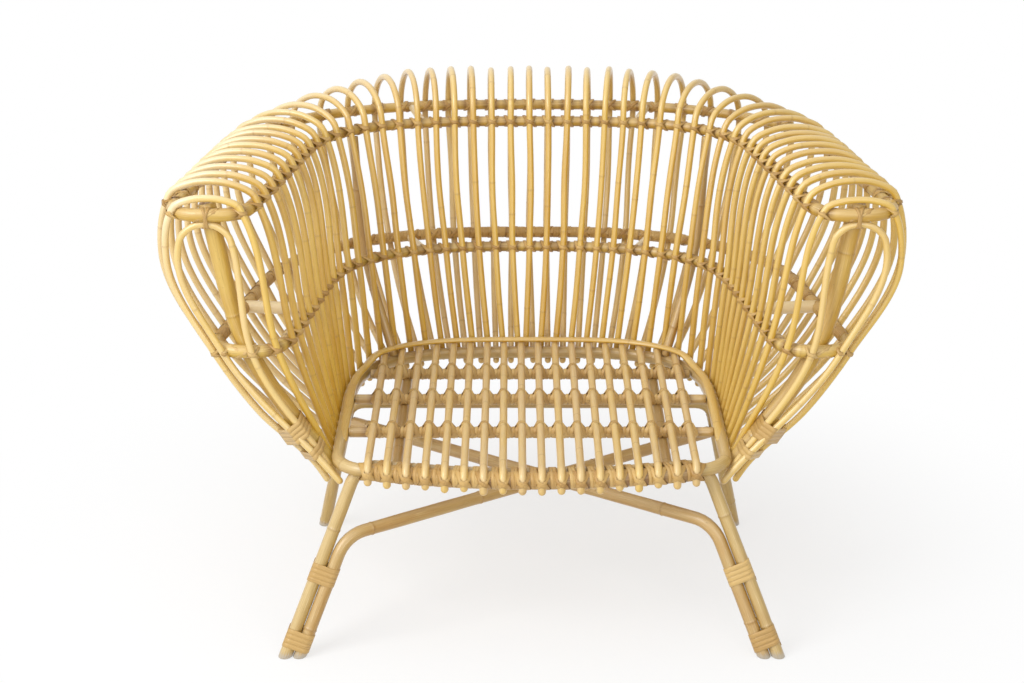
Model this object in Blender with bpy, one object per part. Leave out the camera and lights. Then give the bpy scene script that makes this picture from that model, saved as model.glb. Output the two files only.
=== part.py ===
"""Rattan lounge chair: a seat hoop on two leg hoops, four rails, and a fan of hairpin rods.

Units are metres, +Z is up and the chair faces -Y. Every rod is a tube along a computed line.
"""
import bmesh
import bpy
import numpy as np

# Pole and rod radii
ROD_R = 0.0048
RAIL_R = 0.0085
HOOP_R = 0.0100
FRONT_RAIL_R = 0.0125
CROSS_RAIL_R = 0.0080
BEARER_R = 0.0090
RIM_R = 0.0040
LEG_R = 0.0100
ARM_POST_R = 0.0110
BACK_POST_R = 0.0078
SPREADER_R = 0.0080
LASHING_R = 0.0026

# Gap left between pieces that touch, and how far fused pieces sink into each other
CLEARANCE = 0.0003
SINK = 0.0012

# A faceted rod bent round a pole cuts the bend's corners, so it stands off by this factor
BEND_ALLOWANCE = 1.07

# Levels of the hoop and the two pairs of rails
HOOP_Z = 0.285
MIDDLE_Z = 0.457
UPPER_Z = 0.668

# Seat hoop seen from above: back line, half width, depth and squareness of its corners, last hairpin
HOOP_BACK_Y = 0.284
HOOP_HALF_WIDTH = 0.294
HOOP_CORNER_DEPTH = 0.284
HOOP_SQUARENESS = 3.4
HOOP_LAST_Y = -0.142

# Inner rails seen from above, with the outward splay of their arms in degrees
MIDDLE_BACK_Y = 0.343
MIDDLE_HALF_WIDTH = 0.310
MIDDLE_SQUARENESS = 2.7
MIDDLE_SPLAY_DEGREES = 7.125
UPPER_BACK_Y = 0.379
UPPER_HALF_WIDTH = 0.336
UPPER_SQUARENESS = 3.1
UPPER_SPLAY_DEGREES = 8.531
RAIL_CORNER_DEPTH = 0.250
RAIL_LAST_Y = -0.158

# Seat; its front rail bows forward between the outermost rods
SEAT_FRONT_Y = -0.250
SEAT_BOW = 0.034
SEAT_CORNER_R = 0.036
SEAT_CORNER_LEAD = 0.043
FRONT_RAIL_PAST = 0.004
CROSS_RAIL_Y = (-0.100, 0.045, 0.165)
BEARER_X = 0.205
SEAT_ROD_COUNT = 18
SEAT_ROD_EDGE = 0.0492
SEAT_ROD_TURNS = (90.0, 45.0, 0.0)
SEAT_ROD_TAIL = 0.016
RIM_RAMP = 0.060

# Arm fronts: the line of the rails' cross pieces, the radius of their bends, the gap at the outer rails
CROSS_Y = -0.200
FRONT_BEND_R = 0.045
RAIL_JOINT = 0.0008

# Hairpin fan; the last hairpin of each side stands on the bends of the arm front
HAIRPINS_PER_SIDE = 23
LAST_FOOT_Y = -0.1645
LAST_LOOP_RISE = 0.022
PITCH_GROWTH = 0.125
PITCH_POWER = 3.55
LOOP_RISE_BACK = 0.075
LOOP_RISE_FRONT = 0.034
LOOP_RISE_TURN = 0.37
LOOP_RISE_POWER = 6.0
LOOP_ANGLES = (24.0, 62.0, 90.0, 118.0, 156.0)
BELLY_DROP = 0.075
BELLY_OUT = (0.012, 0.040)
KNEE_AT = (0.0, 0.5, 1.0)
KNEE_OUT = (0.004, 0.020, 0.014)
FOOT_PAST = 0.014
ARM_FOOT_PAST = 0.028

# Distance from each inner rail to its outer rail, at the back and at the arm fronts
UPPER_SPACING = (0.124, 0.114)
MIDDLE_SPACING = (0.086, 0.103)
SPREADER_T = 0.78

# Front loops on the arm fronts: height of the head under the upper cross piece, half width, waist, feet
FRONT_LOOP_HEAD = 0.0364
FRONT_LOOP_HALF = 0.040
FRONT_LOOP_WAIST = (0.038, 0.0755)
FRONT_LOOP_FOOT_Y = (-0.2065, -0.2195)

# Back posts stand in the gap after this hairpin, counted from the middle of the back
BACK_POST_GAP = 9
BACK_POST_STANDOFF = 0.0005

# Leg hoops: corners and feet, sideways from the sides of the seat hoop, and lines across the seat
FRONT_LEG_CORNER_IN = 0.032
FRONT_FOOT_OUT = 0.080
FRONT_FOOT_Y = -0.296
FRONT_LEG_BEND_R = 0.024
REAR_LEG_Y = 0.125
REAR_LEG_CORNER_OUT = 0.004
REAR_FOOT_OUT = 0.058
REAR_FOOT_Y = 0.200
REAR_LEG_BEND_R = 0.030
FLOOR_PAST = 0.020

# Braces and the lashings that hold them to the front legs
BRACE_BEND_Z = 0.190
BRACE_BEND_R = 0.050
BRACE_REAR_Z = 0.207
LASHING_Z = (0.030, 0.128)
LASHING_TURNS = 5
LASHING_PITCH = 0.0057
LASHING_BEND_STEPS = 5
LASHING_CLIMB = 0.9

# Tube facets
ROD_SIDES = 6
POLE_SIDES = 8
HOOP_STEPS = 16
BEND_STEPS = 4
ARM_STRIDE = 6
FRONT_STRIDE = 3

# Reach along a line, as a share of its length, over which its direction is taken
TANGENT_REACH = 0.004

# Edges of a fused piece that are sharper than this keep their crease
CREASE_DEGREES = 40.0

# Turn of a six-sided rod that brings a facet edge, not a flat, against what it rests on
EDGE_ON = np.pi / 2.0

UP = np.array([0.0, 0.0, 1.0])


class Plan:
    """A D-shaped line seen from above; t runs from 0 at mid back to 1 at the last hairpin."""

    STEPS = 600

    def __init__(self, back_y, half_width, corner_depth, squareness, splay_degrees, last_y):
        angle = np.linspace(0.0, np.pi / 2.0, self.STEPS)
        power = 2.0 / squareness
        x = half_width * np.sin(angle) ** power
        y = back_y - corner_depth + corner_depth * np.cos(angle) ** power
        x = np.append(x, half_width)
        y = np.append(y, last_y)
        self.x = x + np.tan(np.radians(splay_degrees)) * (back_y - y)
        self.y = y
        step = np.hypot(np.diff(self.x), np.diff(self.y))
        self.run = np.concatenate([[0.0], np.cumsum(step)])
        self.length = self.run[-1]

    def at(self, t, z):
        """Point on the line; beyond the last hairpin the arm runs on straight."""
        run = abs(t) * self.length
        past = max(0.0, run - self.length)
        end = np.array([self.x[-1] - self.x[-2], self.y[-1] - self.y[-2]])
        end /= np.linalg.norm(end)
        x = np.interp(run, self.run, self.x) + past * end[0]
        y = np.interp(run, self.run, self.y) + past * end[1]
        return np.array([np.copysign(x, t) if t else 0.0, y, z])

    def tangent(self, t):
        """Level direction along the line, towards growing t."""
        along = self.at(t + TANGENT_REACH, 0.0) - self.at(t - TANGENT_REACH, 0.0)
        return along / np.linalg.norm(along)

    def outward(self, t):
        """Level direction away from the seat."""
        along = self.tangent(t)
        return np.array([-along[1], along[0], 0.0])

    def t_at_y(self, y):
        """Parameter where the arm passes a given y."""
        last = np.array([self.x[-1] - self.x[-2], self.y[-1] - self.y[-2]])
        slope = np.linalg.norm(last) / abs(last[1])
        if y < self.y[-1]:
            return 1.0 + (self.y[-1] - y) * slope / self.length
        return np.interp(-y, -self.y, self.run) / self.length

    def y_at_x(self, x):
        """How far back the line lies at a given x, on its rear part."""
        return np.interp(abs(x), self.x[:self.STEPS], self.y[:self.STEPS])


# The hoop, and the inner rail of the middle and of the upper pair
HOOP = Plan(HOOP_BACK_Y, HOOP_HALF_WIDTH, HOOP_CORNER_DEPTH, HOOP_SQUARENESS, 0.0, HOOP_LAST_Y)
MIDDLE = Plan(MIDDLE_BACK_Y, MIDDLE_HALF_WIDTH, RAIL_CORNER_DEPTH, MIDDLE_SQUARENESS,
              MIDDLE_SPLAY_DEGREES, RAIL_LAST_Y)
UPPER = Plan(UPPER_BACK_Y, UPPER_HALF_WIDTH, RAIL_CORNER_DEPTH, UPPER_SQUARENESS,
             UPPER_SPLAY_DEGREES, RAIL_LAST_Y)

SEAT_ROD_PITCH = 2.0 * (HOOP_HALF_WIDTH - SEAT_ROD_EDGE) / (SEAT_ROD_COUNT - 1)
FRONT_RAIL_HALF = 0.5 * (SEAT_ROD_COUNT - 1) * SEAT_ROD_PITCH + ROD_R + FRONT_RAIL_PAST
SEAT_ROD_Z = HOOP_Z + HOOP_R + ROD_R + CLEARANCE
FRONT_RAIL_Z = SEAT_ROD_Z - ROD_R - FRONT_RAIL_R + SINK
CROSS_RAIL_Z = SEAT_ROD_Z - ROD_R - CROSS_RAIL_R + SINK
BEARER_Z = CROSS_RAIL_Z - CROSS_RAIL_R - BEARER_R + SINK
FRONT_BOW_SLOPE = 4.0 * SEAT_BOW / ((SEAT_ROD_COUNT - 1) * SEAT_ROD_PITCH)
FRONT_LEG_BEHIND = (FRONT_RAIL_R + LEG_R + CLEARANCE) * np.hypot(1.0, FRONT_BOW_SLOPE)
FRONT_LEG_Z = FRONT_RAIL_Z
REAR_LEG_Z = BEARER_Z - BEARER_R - LEG_R - CLEARANCE
FRONT_LEG_CORNER_X = HOOP_HALF_WIDTH - FRONT_LEG_CORNER_IN
FRONT_FOOT = (HOOP_HALF_WIDTH + FRONT_FOOT_OUT, FRONT_FOOT_Y)
REAR_LEG_CORNER_X = HOOP_HALF_WIDTH + REAR_LEG_CORNER_OUT
REAR_FOOT = (HOOP_HALF_WIDTH + REAR_FOOT_OUT, REAR_FOOT_Y)


def unit(vector):
    """Vector of length one."""
    return vector / np.linalg.norm(vector)


def blend(pair, t):
    """Value between a back and a front figure."""
    return pair[0] + (pair[1] - pair[0]) * min(abs(t), 1.0)


def outer_point(plan, spacing, t, z):
    """Point on the outer rail beside an inner rail."""
    return plan.at(t, z) + plan.outward(t) * blend(spacing, t)


def outer_tangent(plan, spacing, t):
    """Level direction along an outer rail."""
    ahead = outer_point(plan, spacing, t + TANGENT_REACH, 0.0)
    behind = outer_point(plan, spacing, t - TANGENT_REACH, 0.0)
    return unit(ahead - behind)


def seat_beside(centre, along, course, side, distance):
    """Point at a distance from a pole, square to the pole and to the rod that passes it."""
    normal = side - course * (side @ course)
    normal = normal - along * (normal @ along)
    return centre + unit(normal) * distance


def smooth(points, counts):
    """Points along a smooth curve through the given points, with a count of steps for each span."""
    points = np.array(points)
    run = np.concatenate([[0.0], np.cumsum(np.linalg.norm(np.diff(points, axis=0), axis=1))])
    slope = np.gradient(points, run, axis=0)
    out = [points[0]]
    for k, count in enumerate(counts):
        span = run[k + 1] - run[k]
        for step in range(1, count + 1):
            u = step / count
            near = 2 * u ** 3 - 3 * u ** 2 + 1
            leave = u ** 3 - 2 * u ** 2 + u
            far = 3 * u ** 2 - 2 * u ** 3
            arrive = u ** 3 - u ** 2
            place = near * points[k] + far * points[k + 1]
            out.append(place + span * (leave * slope[k] + arrive * slope[k + 1]))
    return np.array(out)


def fillet(before, corner, after, radius, steps):
    """Arc points that round the corner of two straight runs."""
    back = unit(before - corner)
    ahead = unit(after - corner)
    half = 0.5 * np.arccos(np.clip(back @ ahead, -1.0, 1.0))
    centre = corner + unit(back + ahead) * radius / np.sin(half)
    start = corner + back * radius / np.tan(half)
    e1 = unit(start - centre)
    e2 = unit(-back - e1 * (-back @ e1))
    turn = np.pi - 2.0 * half
    angle = np.linspace(0.0, turn, steps + 1)
    return centre + radius * (np.outer(np.cos(angle), e1) + np.outer(np.sin(angle), e2))


def mirrored(points):
    """The same points on the other side of the chair."""
    return np.array(points) * np.array([-1.0, 1.0, 1.0])


def new_material(name, colour, roughness):
    """Lacquered cane of one tone."""
    material = bpy.data.materials.new(name)
    material.use_nodes = True
    shader = material.node_tree.nodes["Principled BSDF"]
    shader.inputs["Base Color"].default_value = (*colour, 1.0)
    shader.inputs["Roughness"].default_value = roughness
    shader.inputs["Metallic"].default_value = 0.0
    return material


def tube(name, points, radius, sides, material, tilt=0.0, twist="MINIMUM"):
    """Round rod along a line of points, with closed ends."""
    curve = bpy.data.curves.new(name, "CURVE")
    curve.dimensions = "3D"
    curve.twist_mode = twist
    curve.bevel_depth = radius
    curve.bevel_resolution = (sides - 4) // 2
    curve.use_fill_caps = True
    spline = curve.splines.new("POLY")
    spline.points.add(len(points) - 1)
    spline.use_smooth = True
    for target, point in zip(spline.points, points):
        target.co = (*point, 1.0)
        target.tilt = tilt
    curve.materials.append(material)
    rod = bpy.data.objects.new(name, curve)
    PARTS.objects.link(rod)
    return rod


def as_mesh(rod):
    """The rod as a closed mesh in place of its curve."""
    bpy.context.view_layer.update()
    graph = bpy.context.evaluated_depsgraph_get()
    mesh = bpy.data.meshes.new_from_object(rod.evaluated_get(graph))
    name = rod.name
    solid = bpy.data.objects.new(name, mesh)
    solid.matrix_world = rod.matrix_world
    PARTS.objects.link(solid)
    bpy.data.objects.remove(rod)
    solid.name = name
    shape = bmesh.new()
    shape.from_mesh(mesh)
    bmesh.ops.remove_doubles(shape, verts=shape.verts, dist=1e-6)
    bmesh.ops.recalc_face_normals(shape, faces=shape.faces)
    shape.to_mesh(mesh)
    shape.free()
    return solid


def cut_at_floor(rod):
    """Mesh of the rod with its lower ends sawn off level at the floor."""
    solid = as_mesh(rod)
    shape = bmesh.new()
    shape.from_mesh(solid.data)
    everything = shape.verts[:] + shape.edges[:] + shape.faces[:]
    cut = bmesh.ops.bisect_plane(shape, geom=everything, dist=1e-7, plane_co=(0, 0, 0),
                                 plane_no=(0, 0, 1), clear_inner=True)
    edges = [item for item in cut["geom_cut"] if isinstance(item, bmesh.types.BMEdge)]
    bmesh.ops.holes_fill(shape, edges=edges)
    bmesh.ops.recalc_face_normals(shape, faces=shape.faces)
    shape.to_mesh(solid.data)
    shape.free()
    return solid


def fuse(name, pieces):
    """One solid from pieces that sink into each other."""
    solids = [piece if piece.type == "MESH" else as_mesh(piece) for piece in pieces]
    base = solids[0]
    for other in solids[1:]:
        joint = base.modifiers.new("Join", "BOOLEAN")
        joint.operation = "UNION"
        joint.solver = "EXACT"
        joint.object = other
    bpy.context.view_layer.update()
    graph = bpy.context.evaluated_depsgraph_get()
    mesh = bpy.data.meshes.new_from_object(base.evaluated_get(graph))
    base.modifiers.clear()
    shape = bmesh.new()
    shape.from_mesh(mesh)
    bmesh.ops.triangulate(shape, faces=shape.faces, quad_method="BEAUTY", ngon_method="BEAUTY")
    shape.to_mesh(mesh)
    shape.free()
    base.data = mesh
    base.name = name
    for other in solids[1:]:
        bpy.data.objects.remove(other)
    mesh.shade_smooth()
    mesh.set_sharp_from_angle(angle=np.radians(CREASE_DEGREES))
    return base


def rail_stations(plan):
    """Places along one side where a rail has points: at the hairpins, but fewer where the arm is straight."""
    straight = plan.run[plan.STEPS - 1] / plan.length
    stations = [hairpin_t(index) for index in range(HAIRPINS_PER_SIDE)]
    bent = [t for t in stations if t < straight]
    arm = [t for t in stations if t >= straight]
    return bent + arm[::-1][::ARM_STRIDE][::-1]


def arm_front(plan, spacing, z):
    """Inner and outer bend of an arm front, and the tip that meets the end of the outer rail."""
    inner = plan.at(plan.t_at_y(CROSS_Y), z)
    outer = inner + np.array([spacing[1] / plan.outward(1.0)[0], 0.0, 0.0])
    tip = outer_point(plan, spacing, 1.0, z) + plan.tangent(1.0) * RAIL_JOINT
    bends = (fillet(plan.at(1.0, z), inner, outer, FRONT_BEND_R, BEND_STEPS),
             fillet(inner, outer, tip, FRONT_BEND_R, BEND_STEPS))
    return bends, tip


def rail_line(plan, spacing, z):
    """An inner rail with its ends bent round the arm fronts to meet the outer rail."""
    course = [plan.at(t, z) for t in rail_stations(plan)]
    bends, tip = arm_front(plan, spacing, z)
    half = np.vstack([course, *bends, [tip]])
    return np.vstack([mirrored(half[:0:-1]), half])


def outer_rail_line(plan, spacing, z):
    """An outer rail, which ends where the arm fronts' bends meet it."""
    half = np.array([outer_point(plan, spacing, t, z) for t in rail_stations(plan)])
    return np.vstack([mirrored(half[:0:-1]), half])


def make_rails(material):
    """Four rails, with a spreader on each arm between the middle pair."""
    for name, plan, spacing, z in (("upper", UPPER, UPPER_SPACING, UPPER_Z),
                                   ("middle", MIDDLE, MIDDLE_SPACING, MIDDLE_Z)):
        tube(name + "_inner_rail", rail_line(plan, spacing, z), RAIL_R, POLE_SIDES, material, twist="Z_UP")
        line = outer_rail_line(plan, spacing, z)
        outer = tube(name + "_outer_rail", line, RAIL_R, POLE_SIDES, material, twist="Z_UP")
        if name == "middle":
            spreaders = []
            for side in (-1, 1):
                t = side * SPREADER_T
                outward = plan.outward(t)
                inner_end = plan.at(t, z) + outward * (RAIL_R + CLEARANCE)
                outer_end = outer_point(plan, spacing, t, z)
                spreaders.append(tube("spreader", [inner_end, outer_end], SPREADER_R, POLE_SIDES, material))
            fuse(name + "_outer_rail", [outer] + spreaders)


def hoop_stations():
    """Places of the hoop's points on one side, up to its front corner."""
    return np.linspace(0.0, HOOP.t_at_y(SEAT_FRONT_Y + SEAT_CORNER_LEAD), HOOP_STEPS)


def hoop_inside(y, half_width):
    """Least x of the hoop's inner face over a band of y."""
    inner = np.array([HOOP.at(t, 0.0) - HOOP.outward(t) * (HOOP_R + CLEARANCE) for t in hoop_stations()])
    band = np.linspace(y - half_width, y + half_width, 9)
    return np.interp(-band, -inner[:, 1], inner[:, 0]).min()


def hoop_line():
    """Seat hoop: back and sides, with rounded front corners that turn in to meet the front rail."""
    front_t = HOOP.t_at_y(SEAT_FRONT_Y)
    corner = HOOP.at(front_t, HOOP_Z)
    course = [HOOP.at(t, HOOP_Z) for t in hoop_stations()]
    tip = np.array([FRONT_RAIL_HALF + CLEARANCE, SEAT_FRONT_Y, HOOP_Z])
    bend = fillet(course[-1], corner, tip, SEAT_CORNER_R, BEND_STEPS)
    half = np.vstack([course, bend, [tip]])
    return np.vstack([mirrored(half[:0:-1]), half])


def rim_line():
    """Thin strip over the hoop: above the rod ends at the back, down on the hoop along the sides."""
    high = SEAT_ROD_Z + ROD_R + RIM_R + CLEARANCE
    low = HOOP_Z + HOOP_R + RIM_R - SINK
    outer_rod_x = 0.5 * (SEAT_ROD_COUNT - 1) * SEAT_ROD_PITCH + 2.0 * ROD_R
    ramp_start = HOOP.t_at_y(HOOP.y_at_x(outer_rod_x))
    ramp = RIM_RAMP / HOOP.length
    back = [HOOP.at(t, high) for t in np.linspace(0.0, ramp_start, HOOP_STEPS // 2)]
    side = [HOOP.at(t, low) for t in np.linspace(ramp_start + ramp, 1.0, HOOP_STEPS // 2)]
    half = np.array(back + side)
    return np.vstack([mirrored(half[:0:-1]), half])


def back_post_line():
    """A post from the top of the hoop, behind the middle rail, to the underside of the upper rail."""
    foot_t, rail_t = back_post_places()
    foot = HOOP.at(foot_t, HOOP_Z + HOOP_R - SINK)
    beside = RAIL_R + BACK_POST_R + CLEARANCE + BACK_POST_STANDOFF
    middle = MIDDLE.at(rail_t, MIDDLE_Z) + MIDDLE.outward(rail_t) * beside
    top = UPPER.at(rail_t, UPPER_Z - RAIL_R - CLEARANCE)
    lean = np.linalg.norm((top - middle)[:2]) / (top - middle)[2]
    top[2] -= BACK_POST_R * lean
    return smooth([foot, middle, top], [3, 3])


def back_post_places():
    """Where a back post stands on the hoop and on the rails, in the gap between two hairpins."""
    rail_t = 0.5 * (hairpin_t(BACK_POST_GAP) + hairpin_t(BACK_POST_GAP + 1))
    return rail_t - foot_offset(BACK_POST_GAP), rail_t


def make_seat_hoop(material):
    """Hoop, rim strip and the two back posts that stand on it."""
    hoop = tube("seat_hoop", hoop_line(), HOOP_R, POLE_SIDES, material, twist="Z_UP")
    rim = tube("rim", rim_line(), RIM_R, ROD_SIDES, material, twist="Z_UP")
    post = back_post_line()
    posts = [tube("back_post", line, BACK_POST_R, POLE_SIDES, material) for line in (post, mirrored(post))]
    return fuse("seat_hoop", [hoop, rim] + posts)


def seat_front(x):
    """Line of the front rail: a shallow arc between the outermost rods, level beyond them."""
    last = 0.5 * (SEAT_ROD_COUNT - 1) * SEAT_ROD_PITCH
    return SEAT_FRONT_Y - SEAT_BOW * (1.0 - min(abs(x) / last, 1.0) ** 2)


def front_stations():
    """Places of the front rail's points on one side: every third rod from the middle, and the last."""
    last = SEAT_ROD_COUNT // 2 - 1
    return [(k + 0.5) * SEAT_ROD_PITCH for k in [*range(0, last, FRONT_STRIDE), last]]


def make_seat_deck(material):
    """Front rail, cross rails, bearers and the rods that lie across them."""
    pieces = []
    front = [(x, seat_front(x), FRONT_RAIL_Z) for x in front_stations() + [FRONT_RAIL_HALF]]
    front = np.vstack([mirrored(front[::-1]), front])
    pieces.append(tube("front_rail", front, FRONT_RAIL_R, POLE_SIDES, material, twist="Z_UP"))
    for y in CROSS_RAIL_Y:
        end = hoop_inside(y, CROSS_RAIL_R)
        line = [(-end, y, CROSS_RAIL_Z), (end, y, CROSS_RAIL_Z)]
        pieces.append(tube("cross_rail", line, CROSS_RAIL_R, POLE_SIDES, material))
    for x in (-BEARER_X, BEARER_X):
        start = seat_front(BEARER_X + BEARER_R) + FRONT_LEG_BEHIND + LEG_R + CLEARANCE
        end = CROSS_RAIL_Y[-1] + CROSS_RAIL_R
        line = [(x, start, BEARER_Z), (x, end, BEARER_Z)]
        pieces.append(tube("bearer", line, BEARER_R, POLE_SIDES, material))
    post = HOOP.at(back_post_places()[0], 0.0)
    post_room = BACK_POST_R + ROD_R + CLEARANCE
    for k in range(SEAT_ROD_COUNT):
        x = (k - 0.5 * (SEAT_ROD_COUNT - 1)) * SEAT_ROD_PITCH
        rear = np.array([x, HOOP.y_at_x(x) + RIM_R, SEAT_ROD_Z])
        if abs(abs(x) - post[0]) < post_room:
            rear[1] = post[1] - post_room
        reach = SEAT_ROD_Z - FRONT_RAIL_Z
        over = [np.array([x, seat_front(x) - reach * np.sin(turn), FRONT_RAIL_Z + reach * np.cos(turn)])
                for turn in np.radians(SEAT_ROD_TURNS)]
        line = [over[0] - UP * SEAT_ROD_TAIL, *over, rear]
        pieces.append(tube("seat_rod", line, ROD_R, ROD_SIDES, material, tilt=EDGE_ON))
    return fuse("seat_deck", pieces)


def leg_hoop_line(span, corner, foot, bend_radius):
    """A leg hoop: along its span from the middle out to a bent corner and down past the floor."""
    floor = np.array([foot[0], foot[1], 0.0])
    below = floor + unit(floor - corner) * FLOOR_PAST
    bend = fillet(span[-1], corner, below, bend_radius, BEND_STEPS)
    half = np.vstack([span, bend, [below]])
    return np.vstack([mirrored(half[::-1]), half])


def front_leg_corner():
    """Where the line of the right front leg meets the bar behind the front rail."""
    return np.array([FRONT_LEG_CORNER_X, SEAT_FRONT_Y + FRONT_LEG_BEHIND, FRONT_LEG_Z])


def make_legs(material):
    """Front and rear leg hoops."""
    places = front_stations()
    places.pop(-2)
    span = [np.array([x, seat_front(x) + FRONT_LEG_BEHIND, FRONT_LEG_Z]) for x in places]
    front = leg_hoop_line(span, front_leg_corner(), FRONT_FOOT, FRONT_LEG_BEND_R)
    corner = np.array([REAR_LEG_CORNER_X, REAR_LEG_Y, REAR_LEG_Z])
    rear = leg_hoop_line([corner * (0.5, 1.0, 1.0)], corner, REAR_FOOT, REAR_LEG_BEND_R)
    for name, line in (("front_leg_hoop", front), ("rear_leg_hoop", rear)):
        cut_at_floor(tube(name, line, LEG_R, POLE_SIDES, material, twist="Z_UP"))


def front_leg_axis():
    """Foot and upward direction of the right front leg."""
    foot = np.array([FRONT_FOOT[0], FRONT_FOOT[1], 0.0])
    return foot, unit(front_leg_corner() - foot)


def beside_front_leg():
    """Direction from the right front leg to the brace that is lashed to it."""
    course = front_leg_axis()[1]
    return unit(np.array([-1.0, 0.0, 0.0]) + course * course[0])


def brace_line(lift):
    """Brace from the right front foot, up beside the leg, then across to the left rear leg."""
    foot, course = front_leg_axis()
    inside = beside_front_leg() * (2.0 * LEG_R + CLEARANCE)
    low = foot + inside - course * FLOOR_PAST
    bend = foot + inside + course * (BRACE_BEND_Z + lift) / course[2]
    rear_top = np.array([-REAR_LEG_CORNER_X, REAR_LEG_Y, REAR_LEG_Z])
    rear_foot = np.array([-REAR_FOOT[0], REAR_FOOT[1], 0.0])
    share = (REAR_LEG_Z - BRACE_REAR_Z - lift) / REAR_LEG_Z
    target = rear_top + (rear_foot - rear_top) * share
    across = unit(target - bend)
    cosine = abs(across @ unit(rear_foot - rear_top))
    sine = np.sqrt(1.0 - cosine ** 2)
    end = target - across * ((LEG_R + CLEARANCE) / sine + LEG_R * cosine / sine + CLEARANCE)
    arc = fillet(low, bend, end, BRACE_BEND_R, BEND_STEPS)
    return np.vstack([[low], arc, [end]])


def lashing_line(height):
    """Turns of split cane round a front leg and its brace, one unbroken line."""
    foot, course = front_leg_axis()
    across = beside_front_leg()
    ahead = np.cross(course, across)
    half = LEG_R + 0.5 * CLEARANCE
    centre = foot + course * height / course[2] + across * half
    outside = 1.0 / np.cos(0.5 * np.pi / LASHING_BEND_STEPS)
    leg_reach = (LEG_R + LASHING_R + CLEARANCE) * outside
    brace_reach = (LEG_R + LASHING_R - SINK) * outside
    line = []
    for half_turn in range(2 * LASHING_TURNS):
        round_leg = half_turn % 2 == 0
        reach = leg_reach if round_leg else brace_reach
        pole = -half if round_leg else half
        for step in range(LASHING_BEND_STEPS + 1):
            share = step / LASHING_BEND_STEPS
            angle = np.pi * (0.5 + half_turn + share)
            rise = 0.5 * (half_turn + LASHING_CLIMB * share - LASHING_TURNS) * LASHING_PITCH
            flat = across * (pole + reach * np.cos(angle)) + ahead * leg_reach * np.sin(angle)
            line.append(centre + flat + course * rise)
    return np.array(line)


def least_self_gap(line):
    """Least distance between neighbouring turns of a winding, surface to surface."""
    turn = 2 * (LASHING_BEND_STEPS + 1)
    between = np.linalg.norm(line[turn:] - line[:-turn], axis=1)
    return between.min() - 2.0 * LASHING_R


def make_braces(material):
    """Both braces, fused where they cross, with the lashings wound round them and the legs."""
    lift = LEG_R - 0.5 * SINK
    right = cut_at_floor(tube("brace", brace_line(lift), LEG_R, POLE_SIDES, material))
    left = cut_at_floor(tube("brace", mirrored(brace_line(-lift)), LEG_R, POLE_SIDES, material))
    windings = []
    for height in LASHING_Z:
        line = lashing_line(height)
        print("lashing gap between turns, mm:", round(least_self_gap(line) * 1000.0, 2))
        for turns in (line, mirrored(line)):
            windings.append(tube("lashing", turns, LASHING_R, ROD_SIDES, material))
    return fuse("cross_brace", [right, left] + windings)


def arm_post_points():
    """Right arm post: foot, seat on the hoop's outer face, bend at the middle rails, top behind the bend."""
    y = CROSS_Y + RAIL_R + ARM_POST_R + CLEARANCE
    middle_t = MIDDLE.t_at_y(y)
    upper_t = UPPER.t_at_y(y)
    middle = MIDDLE.at(middle_t, MIDDLE_Z)
    middle[0] += 0.5 * MIDDLE_SPACING[1]
    top = UPPER.at(upper_t, UPPER_Z + RAIL_R)
    top[0] += 0.5 * UPPER_SPACING[1]
    hoop_t = HOOP.t_at_y(y)
    centre = HOOP.at(hoop_t, HOOP_Z)
    course = unit(middle - centre)
    seat = seat_beside(centre, HOOP.tangent(hoop_t), course, HOOP.outward(hoop_t),
                       HOOP_R + ARM_POST_R + CLEARANCE)
    foot = seat - unit(middle - seat) * FOOT_PAST
    return foot, seat, middle, top


def outside_arm_post():
    """Seat of the rod that is lashed along the outside of the right arm post's foot, and its direction."""
    foot, seat = arm_post_points()[:2]
    course = unit(seat - foot)
    side = np.array([1.0, 0.0, 0.0])
    side = unit(side - course * (side @ course))
    return seat + side * (ARM_POST_R + ROD_R + CLEARANCE), course


def make_arm_posts(material):
    """Left and right arm posts."""
    line = smooth(arm_post_points(), [1, 3, 3])
    tube("right_arm_post", line, ARM_POST_R, POLE_SIDES, material)
    tube("left_arm_post", mirrored(line), ARM_POST_R, POLE_SIDES, material)


def hairpin_t(index):
    """Place of a hairpin along the rails; the pitch grows a little towards the arm fronts."""
    share = index / (HAIRPINS_PER_SIDE - 1)
    return share * (1.0 - PITCH_GROWTH) + PITCH_GROWTH * share ** PITCH_POWER


def foot_offset(index):
    """Quarter of the local pitch, by which a hairpin's two feet lie apart along the hoop."""
    return 0.25 * (hairpin_t(index + 1) - hairpin_t(index))


def loop_rise(t):
    """Height of a loop's top above the upper rails."""
    share = 1.0 / (1.0 + (abs(t) / LOOP_RISE_TURN) ** LOOP_RISE_POWER)
    return LOOP_RISE_FRONT + (LOOP_RISE_BACK - LOOP_RISE_FRONT) * share


def bend_seat(bend, gap):
    """Middle of a bend as a pole: centre, direction, level side away from the bend's centre, gap."""
    middle = BEND_STEPS // 2
    along = unit(bend[middle + 1] - bend[middle - 1])
    return bend[middle], along, np.array([along[1], -along[0], 0.0]), gap


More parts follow.
